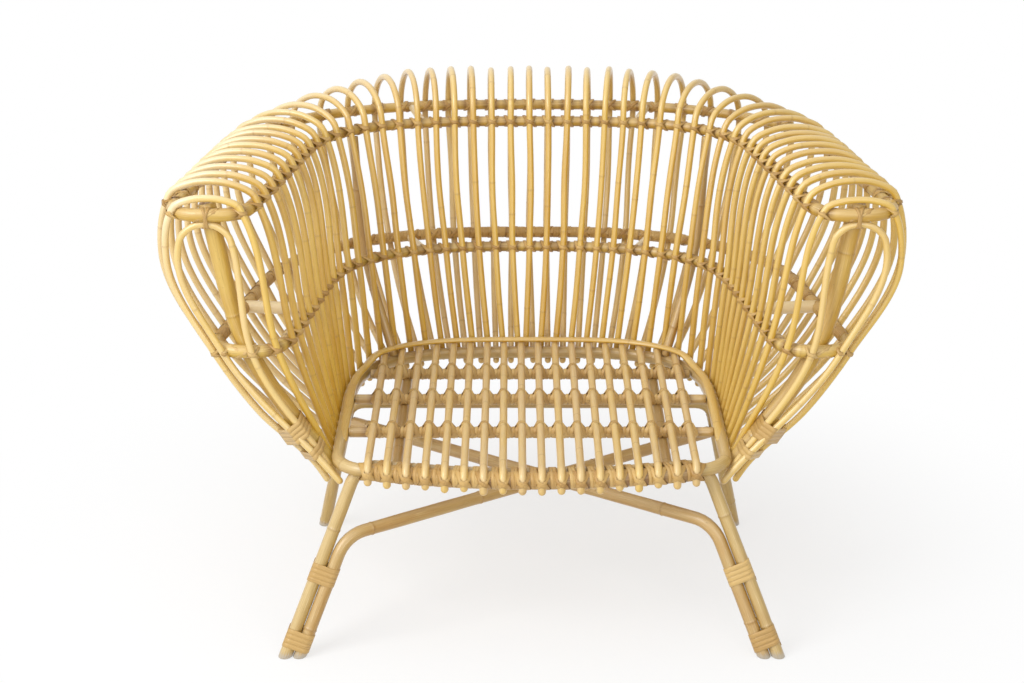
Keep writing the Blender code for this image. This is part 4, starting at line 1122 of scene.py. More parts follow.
def finish(name):
    """A finish by its name, made on first use from the colours in the panel."""
    made = bpy.data.materials.get(name)
    if made:
        return made

    def tones(*names):
        """Colours of the panel by their names."""
        return [(*getattr(bpy.context.scene.rattan_colours, tone), 1.0) for tone in names]

    if name in CANE_SKINS:
        return cane_finish(name, *tones(*CANE_SKINS[name][:3], "bleached_and_lit"), *CANE_SKINS[name][3:])
    if name in SPLIT_CANES:
        return strip_finish(name, *tones(*SPLIT_CANES[name]))
    if name == "end_grain":
        return end_grain_finish(name, *tones("end_grain", "brown"))
    raise ValueError(f"no finish is named {name}")


# ---------------------------------------------------------------- what a user may change

def length(label, about, default):
    """A size in metres."""
    return FloatProperty(name=label, description=about, default=default, unit="LENGTH", min=0.0005,
                         precision=4)


def tint(label, about, default):
    """A colour, scene linear."""
    return FloatVectorProperty(name=label, description=about, default=default, size=3, subtype="COLOR",
                               min=0.0, max=1.0)


def power(label, about, default):
    """A lamp's power in watts."""
    return FloatProperty(name=label, description=about, default=default, unit="POWER")


class RattanSizes(bpy.types.PropertyGroup):
    """Thicknesses of the cane and of the strips that bind it."""

    rod: length("Hairpin rod", "Radius of the hairpin rods", 0.0053)
    seat_rod: length("Seat rod", "Radius of the rods of the seat", 0.0060)
    post: length("Arm post", "Radius of the arm posts", 0.0132)
    spreader: length("Spreader", "Radius of the short poles between the middle rails", 0.0098)
    ring_gap: length("Ring gap", "Distance between the rings of a cane", 0.19)
    rail_strip: length("Rail strip", "Width of the strips at the rails", 0.0056)
    seat_strip: length("Seat strip", "Width of the strips on the seat", 0.0078)
    bundle_strip: length("Bundle strip", "Width of the strips wound round legs and arm feet", 0.0078)
    thickness: length("Strip thickness", "Thickness of split cane", 0.0010)
    sides: IntProperty(name="Sides", description="Sides of a rod's circle", default=12, min=6, max=32)


class RattanColours(bpy.types.PropertyGroup):
    """Tones of the cane."""

    honey: tint("Honey", "Main tone of the cane", (0.690, 0.440, 0.055))
    gold: tint("Gold", "Deeper tone of the rods", (0.600, 0.340, 0.018))
    straw: tint("Straw", "Main tone of the poles", (0.485, 0.318, 0.088))
    pole: tint("Pole", "Deeper tone of the poles", (0.440, 0.245, 0.050))
    rail: tint("Rail", "Main tone of the rails and arm posts", (0.610, 0.400, 0.072))
    rail_dark: tint("Dark rail", "Deeper tone of the rails and arm posts", (0.520, 0.300, 0.034))
    brown: tint("Brown", "Streaks and rings of the rods", (0.300, 0.140, 0.040))
    # Dark tone of the poles' streaks, also used for the stain and painted shade beside bindings and at the
    # strips' edges
    stain: tint("Stain and Shade", "Streaks and bound places of the poles", (0.220, 0.100, 0.030))
    # Pale tone of bleaching and light streaks, also used for the painted highlight on the side towards the
    # key light and on the hairpins' loops
    bleached_and_lit: tint("Bleached", "Pale stretches", (0.840, 0.685, 0.410))
    deck: tint("Seat", "Main tone of the seat rods", (0.620, 0.410, 0.145))
    strip: tint("Split cane", "Light tone of the strips", (0.620, 0.415, 0.150))
    strip_dark: tint("Dark split cane", "Dark tone of the strips", (0.440, 0.250, 0.070))
    # Strips at the rails and the front rail: darker than the other split cane, as painted shade
    knot: tint("Knot", "Light tone of the strips at the rails", (0.600, 0.385, 0.125))
    knot_dark: tint("Dark knot", "Dark tone of the strips at the rails", (0.360, 0.185, 0.042))
    end_grain: tint("End grain", "Sawn ends", (0.480, 0.410, 0.310))


class RattanStage(bpy.types.PropertyGroup):
    """Floor and light."""

    floor: tint("Floor", "Colour of the floor", (0.92, 0.92, 0.92))
    key: power("Key light", "Power of the large light at the left", 106.0)
    fill: power("Fill light", "Power of the light in front", 24.0)
    top: power("Top light", "Power of the light overhead", 16.0)
    sky: FloatProperty(name="Sky", description="Strength of the even light from all sides", default=0.60,
                       min=0.0)


# ---------------------------------------------------------------- pieces

# First number of each group of pieces, from which its unevenness is drawn
FIRST_NUMBER = {
    "front_loops": 61, "rails": 71, "stays": 78, "spreaders": 79, "hoop": 81, "rim": 82, "back_posts": 83,
    "front_rail": 91, "cross_rails": 92, "bearers": 96, "seat_rods": 101, "leg_hoops": 121, "braces": 123,
    "arm_posts": 131, "rail_knots": 141, "seat_knots": 151, "front_knots": 155, "leg_turns": 161,
    "arm_foot_turns": 171, "arm_front_knots": 181, "hangers": 191, "outer_rail_turns": 201,
    "front_rail_turns": 261, "cross_rail_turns": 301, "hoop_turns": 371,
}
# Rings of the poles: distance between two, and their swelling as a share of the radius
RAIL_RINGS = {"ring_gap": 0.23, "swell": 0.05}
HOOP_RINGS = {"ring_gap": 0.24, "swell": 0.03}
BACK_POST_RINGS = {"ring_gap": 0.21, "swell": 0.07}
LEG_RINGS = {"ring_gap": 0.17, "swell": 0.07}
BRACE_RINGS = {"ring_gap": 0.20, "swell": 0.07}
ARM_POST_RINGS = {"ring_gap": 0.26, "swell": 0.04}
# Points of a hairpin that give its plane: inner foot, upper inner rail, upper outer rail
PLANE_POINTS = [0, 2, 8]
# Painted highlight along a hairpin: places as shares of its length and how pale it is there, most over the
# loop's top, times its strength on the left arm, the back and the right arm, strongest on the left where the
# key light falls; then the same for the left and the right front loop
HIGHLIGHT_AT = np.array([0.0, 0.42, 0.50, 0.60, 1.0])
HIGHLIGHT_PALE = np.array([0.0, 0.05, 0.55, 0.30, 0.30])
HIGHLIGHT_SHARE = (1.55, 0.9, 0.1)
FRONT_LOOP_HIGHLIGHT = (0.34, 0.22)
# Most that a rod wanders sideways in each stretch between its ends and its six bindings, and the share by
# which its thickness differs
ROD_WANDER = np.array([0.0, 0.0006, 0.0030, 0.0010, 0.0024, 0.0006, 0.0])
ROD_UNEVEN = 0.05
# How far from their ends the inner rails are thicker, round the arm fronts, by what share, and the taper
ARM_FRONT_RUN = 0.16
ARM_FRONT_GIRTH = 0.18
ARM_FRONT_TAPER = 0.06
# Short poles: the stays between the rails of the back, and how bleached these and the spreaders are
STAY_X = 0.18
STAY_R = 0.0062
STAY_BLEACHED = 1.0
SPREADER_BLEACHED = 0.9
# Points along the straight or gently bent pieces
SHORT_POLE_STEPS = 9
FRONT_RAIL_STEPS = 121
LEG_BAR_STEPS = 40
CROSS_RAIL_STEPS = 60
CROSS_TURNS_STEPS = 120
BEARER_STEPS = 50
SEAT_BEND_STEPS = 15
HOOP_INSIDE_STEPS = 200
BAND_STEPS = 9
# Share by which the seat rods' tails differ, distance between their stations, and width of the stain and
# painted shade beside their bindings
TAIL_STRAY = 0.2
SEAT_ROD_SPACING = 0.007
SEAT_BOUND_WIDTH = 0.010
# Where the leg bar's bend begins, as a share of the corner's place; and the level edges of the sawn feet
LEG_BAR_SHARE = 0.86
FOOT_EDGE = 0.0016
FOOT_LEVELS = {0: 0.0, 1: FOOT_EDGE}
BOTH_FOOT_LEVELS = {**FOOT_LEVELS, -2: FOOT_EDGE, -1: 0.0}
# How far the cut tops of the arm posts stand above the cross pieces
POST_END = 0.006
# How far crossed strips swing along the pole: at the rails, on the seat, at arm posts and at front loops
RAIL_SWING = 0.0088
SEAT_SWING = 0.0105
POST_SWING = 0.0170
LOOP_SWING = 0.0095
# Way from the front rail to the rod at its knots
FRONT_KNOT_LEAN = np.array([0.0, -1.0, 0.06])
# Heights of the turns round the arm feet and how many, their pitch, and the stretches of the lines there
ARM_FOOT_TURNS = ((0.300, 2), (0.334, 4))
ARM_FOOT_PITCH = 0.0073
ARM_FOOT_POINTS = 60
ARM_FOOT_STEPS = 40
POST_FOOT_POINT = 30
# Strips at the arm fronts: thickness of the knots, and slant along the cross piece, width and thickness of
# the turn that hangs a front loop, in parts of a rail strip; and the points of one such turn, or of one round
# the front rail
ARM_KNOT_THICKNESS = 1.2
HANG_SLANT = 0.020
HANG_WIDTH = 0.8
HANG_THICKNESS = 1.4
WIDE_STEPS = 30
# Pitch of the turns on the outer middle rail, and the room that they leave beside a rod
OUTER_PITCH = 0.0047
WINDING_ROOM = 0.0085
# Half the length of the turns on a cross rail between two rods, and their pitch
CROSS_WINDING_HALF = 0.0065
CROSS_WINDING_PITCH = 0.0064
# Stretch of the hoop's front ends that is wound
HOOP_WINDING = (0.008, 0.023)
# Strips wound round the front rail and the leg bar between two rods: where, how often, pitch, width, the part
# of a turn at which they start, and the reach over which the rail's direction is taken
BARREL_SHARE = 0.58
BARREL_TURNS = 2
BARREL_PITCH = 0.0052
BARREL_STRIP = 0.0066
BARREL_START = 0.25
BARREL_REACH = 0.002
# Plan, spacing and height of the upper and of the middle pair of rails
RAIL_PAIRS = {"upper": (UPPER, UPPER_SPACING, UPPER_Z), "middle": (MIDDLE, MIDDLE_SPACING, MIDDLE_Z)}
# What puts a piece of the right half on the right and on the left
BOTH_HALVES = (np.asarray, mirrored)


def numbers():
    """Numbers of the hairpins, from the left arm front round to the right."""
    return range(1, 2 * HAIRPINS_PER_SIDE + 2)


def crossings(pole):
    """Centre, direction and rod centre for every hairpin at one of its six poles, as arrays."""
    rows = np.array([hairpin_points(number)[1][pole] for number in numbers()])
    return rows[:, 0], rows[:, 1], rows[:, 2]


def left_and_right(line):
    """A line of the right half and its mirror image, by side."""
    return ("left", mirrored(line)), ("right", line)


def wandering(line, seats, along, number):
    """Line moved sideways between its bindings by a squared sine, which is level at each of them."""
    run = arc_length(line)
    ties = np.concatenate([[0.0], np.sort(place_on_line(line, run, seats)), [run[-1]]])
    stretch = np.clip(np.searchsorted(ties, run, side="right") - 1, 0, len(ROD_WANDER) - 1)
    share = (run - ties[stretch]) / (ties[stretch + 1] - ties[stretch])
    reach = ROD_WANDER * jitter(np.arange(len(ROD_WANDER)) + WANDER_STRIDE * number, WANDER_DRAW)
    return line + np.outer(np.sin(np.pi * share) ** 2 * reach[stretch], along)


class RATTAN_OT_hairpins(bpy.types.Operator):
    """Bend the fan of hairpin rods round the rails"""

    bl_idname = "rattan.hairpins"
    bl_label = "Hairpin Rods"

    def execute(self, context):
        sizes = context.scene.rattan_sizes
        left_back_right = (1, HAIRPINS_PER_SIDE + 1, 2 * HAIRPINS_PER_SIDE + 1)
        for number in numbers():
            points, poles = hairpin_points(number)
            line = wandering(flowing(points), poles[:, 2], poles[2, 1], number)
            foot, inner, outer = points[PLANE_POINTS]
            # Painted highlight: paler over the loop's top and down the outer run, most on the left arm
            # towards the key light
            highlight_pale = HIGHLIGHT_PALE * np.interp(number, left_back_right, HIGHLIGHT_SHARE)
            radius = sizes.rod * (1.0 + ROD_UNEVEN * jitter(number, RADIUS_DRAW))
            skin = cane(line, radius, sizes.sides, unit(np.cross(inner - foot, outer - inner)),
                        ends=("dome", "dome"), ring_gap=sizes.ring_gap, number=number,
                        pale=(HIGHLIGHT_AT * arc_length(line)[-1], highlight_pale))
            add_piece(f"hairpin_rod_{number:02d}", [skin], finish("rod_cane_skin"),
                      nodes=[f"hairpin_{number:02d}"])
        return {"FINISHED"}


class RATTAN_OT_front_loops(bpy.types.Operator):
    """Bend the narrow loops across the arm fronts"""

    bl_idname = "rattan.front_loops"
    bl_label = "Front Loops"

    def execute(self, context):
        sizes = context.scene.rattan_sizes
        # Painted highlight: each front loop is made paler, the left one more, where the key light falls
        loops = zip(left_and_right(flowing(front_loop_points())), FRONT_LOOP_HIGHLIGHT)
        for number, ((side, line), share) in enumerate(loops, FIRST_NUMBER["front_loops"]):
            skin = cane(line, sizes.rod, sizes.sides, FORWARD, ends=("dome", "dome"), ring_gap=sizes.ring_gap,
                        number=number, pale=share)
            add_piece(f"{side}_front_loop_rod", [skin], finish("rod_cane_skin"), nodes=[f"{side}_front_loop"])
        return {"FINISHED"}


def rail_lines():
    """The four rails by name: line, and the pole number of the hairpins' crossings."""
    return {
        "upper_inner_rail": (rail_path(*RAIL_PAIRS["upper"]), 2),
        "upper_outer_rail": (outer_rail_path(*RAIL_PAIRS["upper"]), 3),
        "middle_inner_rail": (rail_path(*RAIL_PAIRS["middle"]), 1),
        "middle_outer_rail": (outer_rail_path(*RAIL_PAIRS["middle"]), 4),
    }


def arm_front_girth(length):
    """Distances along an inner rail and its girth there: thicker round both arm fronts."""
    front = (0.0, ARM_FRONT_RUN, ARM_FRONT_RUN + ARM_FRONT_TAPER)
    thick = 1.0 + ARM_FRONT_GIRTH
    return [*front, *(length - part for part in front[::-1])], [thick, thick, 1.0, 1.0, thick, thick]


class RATTAN_OT_rails(bpy.types.Operator):
    """Bend the four rails, with the spreaders and stays between them"""

    bl_idname = "rattan.rails"
    bl_label = "Rails"

    def execute(self, context):
        sizes = context.scene.rattan_sizes
        for number, (name, (line, pole)) in enumerate(rail_lines().items(), FIRST_NUMBER["rails"]):
            girth = arm_front_girth(arc_length(line)[-1]) if "inner" in name else None
            # Stain and painted shade beside each hairpin's binding on the rail
            skins = [cane(line, RAIL_R, POLE_SIDES, UP, number, bound_at=crossings(pole)[0], girth=girth,
                          **RAIL_RINGS)]
            if name == "middle_outer_rail":
                skins += self.spreaders(sizes.spreader)
            add_poles(name + "_pole", skins, name, skin="rail_cane_skin")
        add_poles("back_stays", self.stays(sizes.sides))
        return {"FINISHED"}

    def spreaders(self, radius):
        """Short poles from the middle inner rail to the outer one, left and right."""
        skins = []
        for t in (-SPREADER_T, SPREADER_T):
            inner = MIDDLE.at(t, MIDDLE_Z) + MIDDLE.outward(t) * (RAIL_R + CLEARANCE)
            outer = outer_point(MIDDLE, MIDDLE_SPACING, t, MIDDLE_Z)
            skins.append(cane(np.linspace(inner, outer, SHORT_POLE_STEPS), radius, POLE_SIDES, UP,
                              number=FIRST_NUMBER["spreaders"], pale=SPREADER_BLEACHED))
        return skins

    def stays(self, sides):
        """Thin poles from face to face of both pairs of rails, at the back."""
        skins = []
        for plan, spacing, z in RAIL_PAIRS.values():
            t = np.interp(STAY_X, plan.x, plan.run) / plan.length
            ends = plan.at(t, z) + np.outer((RAIL_R, blend(spacing, t) - RAIL_R), plan.outward(t))
            line = np.linspace(*ends, SHORT_POLE_STEPS)
            skins += [cane(flip(line), STAY_R, sides, UP, number=FIRST_NUMBER["stays"], pale=STAY_BLEACHED)
                      for flip in BOTH_HALVES]
        return skins


class RATTAN_OT_seat_hoop(bpy.types.Operator):
    """Bend the seat hoop and its rim strip, and stand the back posts on it"""

    bl_idname = "rattan.seat_hoop"
    bl_label = "Seat Hoop"

    def execute(self, context):
        sizes = context.scene.rattan_sizes
        hoop = cane(hoop_path(), HOOP_R, POLE_SIDES, UP, FIRST_NUMBER["hoop"], **HOOP_RINGS)
        add_poles("seat_hoop_pole", [hoop], "seat_hoop")
        rim = cane(rim_path(), RIM_R, sizes.sides, UP, number=FIRST_NUMBER["rim"], ends=("dome", "dome"),
                   flatness=RIM_FLATNESS)
        add_piece("rim_strip", [rim], finish("rod_cane_skin"), nodes=["seat_hoop"])
        posts = enumerate(left_and_right(back_post_path()), FIRST_NUMBER["back_posts"])
        posts = [cane(line, BACK_POST_R, POLE_SIDES, SIDEWAYS, number, **BACK_POST_RINGS)
                 for number, (_, line) in posts]
        add_poles("back_posts", posts, "seat_hoop")
        return {"FINISHED"}


def hoop_inside(y, half_width):
    """Least x of the hoop's inner face over a band of y."""
    t = np.linspace(0.0, HOOP.t_at_y(SEAT_FRONT_Y + SEAT_CORNER_LEAD), HOOP_INSIDE_STEPS)
    inner = HOOP.at(t, 0.0) - HOOP.outward(t) * (HOOP_R + CLEARANCE)
    band = np.linspace(y - half_width, y + half_width, BAND_STEPS)
    return np.interp(-band, -inner[:, 1], inner[:, 0]).min()


def points_of(x, y, z):
    """Points from arrays or single figures of x, y and z."""
    return np.stack(np.broadcast_arrays(x, y, z), axis=-1)


def along_seat_front(x, behind=0.0):
    """Points of the front rail at places x, or of the leg bar behind it."""
    return points_of(x, seat_front(x) + behind, FRONT_RAIL_Z)


def seat_rod_path(x, rear_y):
    """A seat rod: level from the rear, bent on an arc about the front rail and straight down to its nose."""
    reach = SEAT_ROD_Z - FRONT_RAIL_Z
    turn = np.linspace(0.5 * np.pi, 0.0, SEAT_BEND_STEPS)
    over = points_of(x, seat_front(x) - reach * np.sin(turn), FRONT_RAIL_Z + reach * np.cos(turn))
    tail = SEAT_ROD_TAIL * (1.0 + TAIL_STRAY * jitter(TAIL_STRIDE * x, TAIL_DRAW))
    return np.vstack([[over[0] - UP * tail], over, [(x, rear_y, SEAT_ROD_Z)]])


class RATTAN_OT_seat_deck(bpy.types.Operator):
    """Lay the front rail, the cross rails, the bearers and the rods of the seat"""

    bl_idname = "rattan.seat_deck"
    bl_label = "Seat Deck"

    def execute(self, context):
        sizes = context.scene.rattan_sizes
        line = along_seat_front(np.linspace(-FRONT_RAIL_HALF, FRONT_RAIL_HALF, FRONT_RAIL_STEPS))
        # Stain and painted shade beside each seat rod's binding on the front rail
        rail = cane(line, FRONT_RAIL_R, POLE_SIDES, UP, number=FIRST_NUMBER["front_rail"],
                    bound_at=along_seat_front(SEAT_ROD_X), bound_width=SEAT_BOUND_WIDTH)
        add_poles("front_rail_pole", [rail], "seat_deck", slot="deck_cane")
        rails = []
        for number, y in enumerate(CROSS_RAIL_Y, FIRST_NUMBER["cross_rails"]):
            end = hoop_inside(y, CROSS_RAIL_R)
            line = np.linspace((-end, y, CROSS_RAIL_Z), (end, y, CROSS_RAIL_Z), CROSS_RAIL_STEPS)
            # Stain and painted shade beside each seat rod's binding on the cross rail
            rails.append(cane(line, CROSS_RAIL_R, POLE_SIDES, UP, number=number,
                              bound_at=points_of(SEAT_ROD_X, y, CROSS_RAIL_Z), bound_width=SEAT_BOUND_WIDTH))
        add_poles("cross_rails", rails, "seat_deck", slot="deck_cane")
        begin = seat_front(BEARER_X + BEARER_R) + FRONT_LEG_BEHIND + LEG_R + CLEARANCE
        end = CROSS_RAIL_Y[-1] + CROSS_RAIL_R
        bearers = []
        for number, x in enumerate((-BEARER_X, BEARER_X), FIRST_NUMBER["bearers"]):
            line = np.linspace((x, begin, BEARER_Z), (x, end, BEARER_Z), BEARER_STEPS)
            bearers.append(cane(line, BEARER_R, POLE_SIDES, UP, number=number))
        add_poles("bearers", bearers, "seat_deck", slot="deck_cane")
        post = back_post_path()[0]
        room = BACK_POST_R + ROD_R + CLEARANCE
        rods = []
        for number, x in enumerate(SEAT_ROD_X, FIRST_NUMBER["seat_rods"]):
            rear = HOOP.y_at_x(x) + RIM_R if abs(abs(x) - post[0]) >= room else post[1] - room
            rods.append(cane(seat_rod_path(x, rear), sizes.seat_rod, sizes.sides, SIDEWAYS,
                             ends=("dome", "sawn"), number=number, spacing=SEAT_ROD_SPACING))
        add_piece("seat_rods", rods, finish("deck_cane_skin"), nodes=["seat_deck"])
        return {"FINISHED"}


class RATTAN_OT_legs(bpy.types.Operator):
    """Bend the front and rear leg hoops and the crossed braces"""

    bl_idname = "rattan.legs"
    bl_label = "Legs and Braces"

    def execute(self, context):
        x = np.linspace(0.0, LEG_BAR_SHARE * FRONT_LEG_CORNER_X, LEG_BAR_STEPS)
        front = leg_hoop_path(along_seat_front(x, FRONT_LEG_BEHIND), front_leg_corner(), FRONT_FOOT,
                              FRONT_LEG_BEND_R)
        corner = np.array([REAR_LEG_CORNER_X, REAR_LEG_Y, REAR_LEG_Z])
        span = corner * np.array([[0.0, 1.0, 1.0], [0.5, 1.0, 1.0]])
        rear = leg_hoop_path(span, corner, REAR_FOOT, REAR_LEG_BEND_R)
        hoops = {"front_leg_hoop": front, "rear_leg_hoop": rear}
        for number, (name, line) in enumerate(hoops.items(), FIRST_NUMBER["leg_hoops"]):
            skin = cane(line, LEG_R, LEG_SIDES, FORWARD, number, levels=BOTH_FOOT_LEVELS, **LEG_RINGS)
            add_poles(name + "_pole", [skin], name)
        lift = LEG_R - 0.5 * SINK
        lines = (brace_path(lift), mirrored(brace_path(-lift)))
        braces = []
        for number, line in enumerate(lines, FIRST_NUMBER["braces"]):
            reference = unit(np.cross(line[1] - line[0], line[-1] - line[-2]))
            braces.append(cane(line, LEG_R, LEG_SIDES, reference, number, levels=FOOT_LEVELS, **BRACE_RINGS))
        add_poles("brace_poles", braces, "cross_brace")
        return {"FINISHED"}


class RATTAN_OT_arm_posts(bpy.types.Operator):
    """Stand the arm posts"""

    bl_idname = "rattan.arm_posts"
    bl_label = "Arm Posts"

    def execute(self, context):
        sizes = context.scene.rattan_sizes
        foot, seat, middle, top = arm_post_points()
        line = flowing([foot, seat, middle, top + unit(top - middle) * POST_END])
        for number, (side, path) in enumerate(left_and_right(line), FIRST_NUMBER["arm_posts"]):
            skin = cane(path, sizes.post, LEG_SIDES, FORWARD, number, **ARM_POST_RINGS)
            add_poles(f"{side}_arm_post_pole", [skin], f"{side}_arm_post", skin="rail_cane_skin")
        return {"FINISHED"}


class RATTAN_OT_rail_bindings(bpy.types.Operator):
    """Bind every hairpin to the rails with crossed strips"""

    bl_idname = "rattan.rail_bindings"
    bl_label = "Rail Bindings"

    def execute(self, context):
        sizes = context.scene.rattan_sizes
        for number, (name, (_, pole)) in enumerate(rail_lines().items(), FIRST_NUMBER["rail_knots"]):
            knots = cross_bindings(*crossings(pole), RAIL_R, sizes.rod, sizes.rail_strip, sizes.thickness,
                                   RAIL_SWING, number)
            # Darker split cane at the rails, as painted shade
            add_strips(name + "_bindings", [knots], "rod_cane", skin="knot_cane")
        return {"FINISHED"}


class RATTAN_OT_seat_bindings(bpy.types.Operator):
    """Bind every seat rod to the cross rails and the front rail with wide crossed strips"""

    bl_idname = "rattan.seat_bindings"
    bl_label = "Seat Bindings"

    def execute(self, context):
        sizes = context.scene.rattan_sizes
        along = np.tile(SIDEWAYS, (SEAT_ROD_COUNT, 1))
        strip = (sizes.seat_rod, sizes.seat_strip, sizes.thickness, SEAT_SWING)
        for row, y in enumerate(CROSS_RAIL_Y):
            knots = cross_bindings(points_of(SEAT_ROD_X, y, CROSS_RAIL_Z), along,
                                   points_of(SEAT_ROD_X, y, SEAT_ROD_Z), CROSS_RAIL_R, *strip,
                                   FIRST_NUMBER["seat_knots"] + row)
            add_strips(f"seat_bindings_{row + 1}", [knots], "deck_cane")
        centre = along_seat_front(SEAT_ROD_X)
        rod = centre + unit(FRONT_KNOT_LEAN) * (FRONT_RAIL_R + ROD_R - SINK)
        knots = cross_bindings(centre, along, rod, FRONT_RAIL_R, *strip, FIRST_NUMBER["front_knots"])
        # Darker split cane at the front rail, as painted shade
        add_strips("front_rail_bindings", [knots], "deck_cane", skin="knot_cane")
        return {"FINISHED"}


def plane_point(line, origin, axis):
    """Point at which a line passes the plane through an origin, square to an axis."""
    depth = (line - origin) @ axis
    order = np.argsort(depth)
    return points_at(line[order], depth[order], 0.0)


class RATTAN_OT_bundle_bindings(bpy.types.Operator):
    """Wind the strips round the legs with their braces, the arm feet, the arm fronts and the rails"""

    bl_idname = "rattan.bundle_bindings"
    bl_label = "Bundle Bindings"

    def execute(self, context):
        sizes = context.scene.rattan_sizes
        self.legs(sizes)
        self.arm_feet(sizes)
        self.arm_fronts(sizes)
        self.outer_rail(sizes)
        self.front_rail(sizes)
        self.cross_rails(sizes)
        self.hoop_ends(sizes)
        return {"FINISHED"}

    def legs(self, sizes):
        """Turns round each front leg and the brace beside it, at two heights."""
        foot, course = front_leg_axis()
        beside = beside_front_leg()
        skins = []
        for height in LASHING_Z:
            origin = foot + course * height / course[2]
            poles = np.array([origin, origin + beside * (2.0 * LEG_R + CLEARANCE)])
            for flip in BOTH_HALVES:
                skins.append(wound_round(flip(poles), [LEG_R, LEG_R], flip(poles).mean(axis=0), flip(course),
                                         flip(beside), LASHING_TURNS, LASHING_PITCH, sizes.bundle_strip,
                                         sizes.thickness, FIRST_NUMBER["leg_turns"] + len(skins)))
        add_strips("leg_bindings", skins, "pole_cane", "cross_brace")

    def arm_feet(self, sizes):
        """Two groups of turns round each arm post's foot, the last hairpin and both legs of a front loop."""
        post = flowing(arm_post_points())
        pin = flowing(hairpin_points(2 * HAIRPINS_PER_SIDE + 1)[0])[::-1]
        loop = flowing(front_loop_points())
        lines = (post, *(line[:ARM_FOOT_POINTS] for line in (pin, loop, loop[::-1])))
        radii = [sizes.post, sizes.rod, sizes.rod, sizes.rod]
        axis = unit(post[POST_FOOT_POINT] - post[0])
        skins = []
        for height, turns in ARM_FOOT_TURNS:
            origin = plane_point(post, UP * height, UP)
            poles = np.array([plane_point(line, origin, axis) for line in lines])
            for flip in BOTH_HALVES:
                skins.append(wound_round(flip(poles), radii, flip(origin), flip(axis), SIDEWAYS, turns,
                                         ARM_FOOT_PITCH, sizes.bundle_strip, sizes.thickness,
                                         FIRST_NUMBER["arm_foot_turns"] + len(skins), ARM_FOOT_STEPS))
        add_strips("arm_foot_bindings", skins, "rod_cane")

    def arm_fronts(self, sizes):
        """Crossed strips where the arm posts and the front loops meet the cross pieces."""
        middle, top = arm_post_points()[2:]
        loop = front_loop_points()
        rows = []
        for spot, pair in ((top, "upper"), (middle, "middle")):
            centre, along, side = on_arm_front(*RAIL_PAIRS[pair], spot[0])
            rows.append((centre, along, centre - side * (RAIL_R + ARM_POST_R), sizes.post, POST_SWING))
        for waist in (loop[2], loop[-3]):
            centre, along, _ = on_arm_front(*RAIL_PAIRS["middle"], waist[0])
            rows.append((centre, along, waist, sizes.rod, LOOP_SWING))
        skins = []
        for number, (centre, along, rod, radius, swing) in enumerate(rows, FIRST_NUMBER["arm_front_knots"]):
            for flip in BOTH_HALVES:
                skins.append(cross_bindings(flip(centre)[None], flip(along)[None], flip(rod)[None], RAIL_R,
                                            radius, sizes.rail_strip, ARM_KNOT_THICKNESS * sizes.thickness,
                                            swing, number))
        centre, along, side = on_arm_front(*RAIL_PAIRS["upper"], top[0])
        poles = np.array([centre, centre - UP * (RAIL_R + sizes.rod)])
        radii = [RAIL_R * (1.0 + ARM_FRONT_GIRTH), sizes.rod]
        for flip in BOTH_HALVES:
            skins += [wound_round(flip(poles), radii, flip(centre), flip(along), side, 1, slant,
                                  HANG_WIDTH * sizes.rail_strip, HANG_THICKNESS * sizes.thickness,
                                  FIRST_NUMBER["hangers"], WIDE_STEPS)
                      for slant in (-HANG_SLANT, HANG_SLANT)]
        add_strips("arm_front_bindings", skins, "rod_cane")

    def outer_rail(self, sizes):
        """Strips wound on the outer middle rail, in the gaps between the rods."""
        line, pole = rail_lines()["middle_outer_rail"]
        places = place_on_line(line, arc_length(line), crossings(pole)[0][1:-1])
        skins = []
        for near, far in zip(places[:-1], places[1:]):
            middle, half = 0.5 * (near + far), 0.5 * (far - near) - WINDING_ROOM
            skins.append(wound_along(line, middle - half, middle + half, RAIL_R, OUTER_PITCH,
                                     sizes.rail_strip, sizes.thickness,
                                     FIRST_NUMBER["outer_rail_turns"] + len(skins)))
        add_strips("outer_rail_windings", skins, "rod_cane")

    def front_rail(self, sizes):
        """Strips wound round the front rail and the leg bar, in the gaps between the rods."""
        skins = []
        for x in SEAT_ROD_X[:-1] + BARREL_SHARE * SEAT_ROD_PITCH:
            rail = along_seat_front(x)
            poles = np.array([rail, rail - FORWARD * FRONT_LEG_BEHIND])
            axis = along_seat_front(x + BARREL_REACH) - rail
            skins.append(wound_round(poles, [FRONT_RAIL_R, LEG_R], rail, axis, FORWARD, BARREL_TURNS,
                                     BARREL_PITCH, BARREL_STRIP, sizes.thickness,
                                     FIRST_NUMBER["front_rail_turns"] + len(skins), WIDE_STEPS, BARREL_START))
        add_strips("front_rail_windings", skins, "deck_cane")

    def cross_rails(self, sizes):
        """Strips wound on the cross rails, half-way between the rods."""
        skins = []
        for row, y in enumerate(CROSS_RAIL_Y):
            line = np.linspace((SEAT_ROD_X[0], y, CROSS_RAIL_Z), (SEAT_ROD_X[-1], y, CROSS_RAIL_Z),
                               CROSS_TURNS_STEPS)
            for gap in range(SEAT_ROD_COUNT - 1):
                middle = (gap + 0.5) * SEAT_ROD_PITCH
                skins.append(wound_along(line, middle - CROSS_WINDING_HALF, middle + CROSS_WINDING_HALF,
                                         CROSS_RAIL_R, CROSS_WINDING_PITCH, sizes.rail_strip, sizes.thickness,
                                         FIRST_NUMBER["cross_rail_turns"] + CROSS_RAIL_STRIDE * row + gap))
        add_strips("cross_rail_windings", skins, "deck_cane")

    def hoop_ends(self, sizes):
        """Strips wound on both front ends of the seat hoop."""
        line = hoop_path()
        ends = [wound_along(path, *HOOP_WINDING, HOOP_R, CROSS_WINDING_PITCH, sizes.seat_strip,
                            sizes.thickness, FIRST_NUMBER["hoop_turns"])
                for path in (line, line[::-1])]
        add_strips("hoop_end_windings", ends, "deck_cane")


# ---------------------------------------------------------------- stage

WHITE = (1.0, 1.0, 1.0, 1.0)
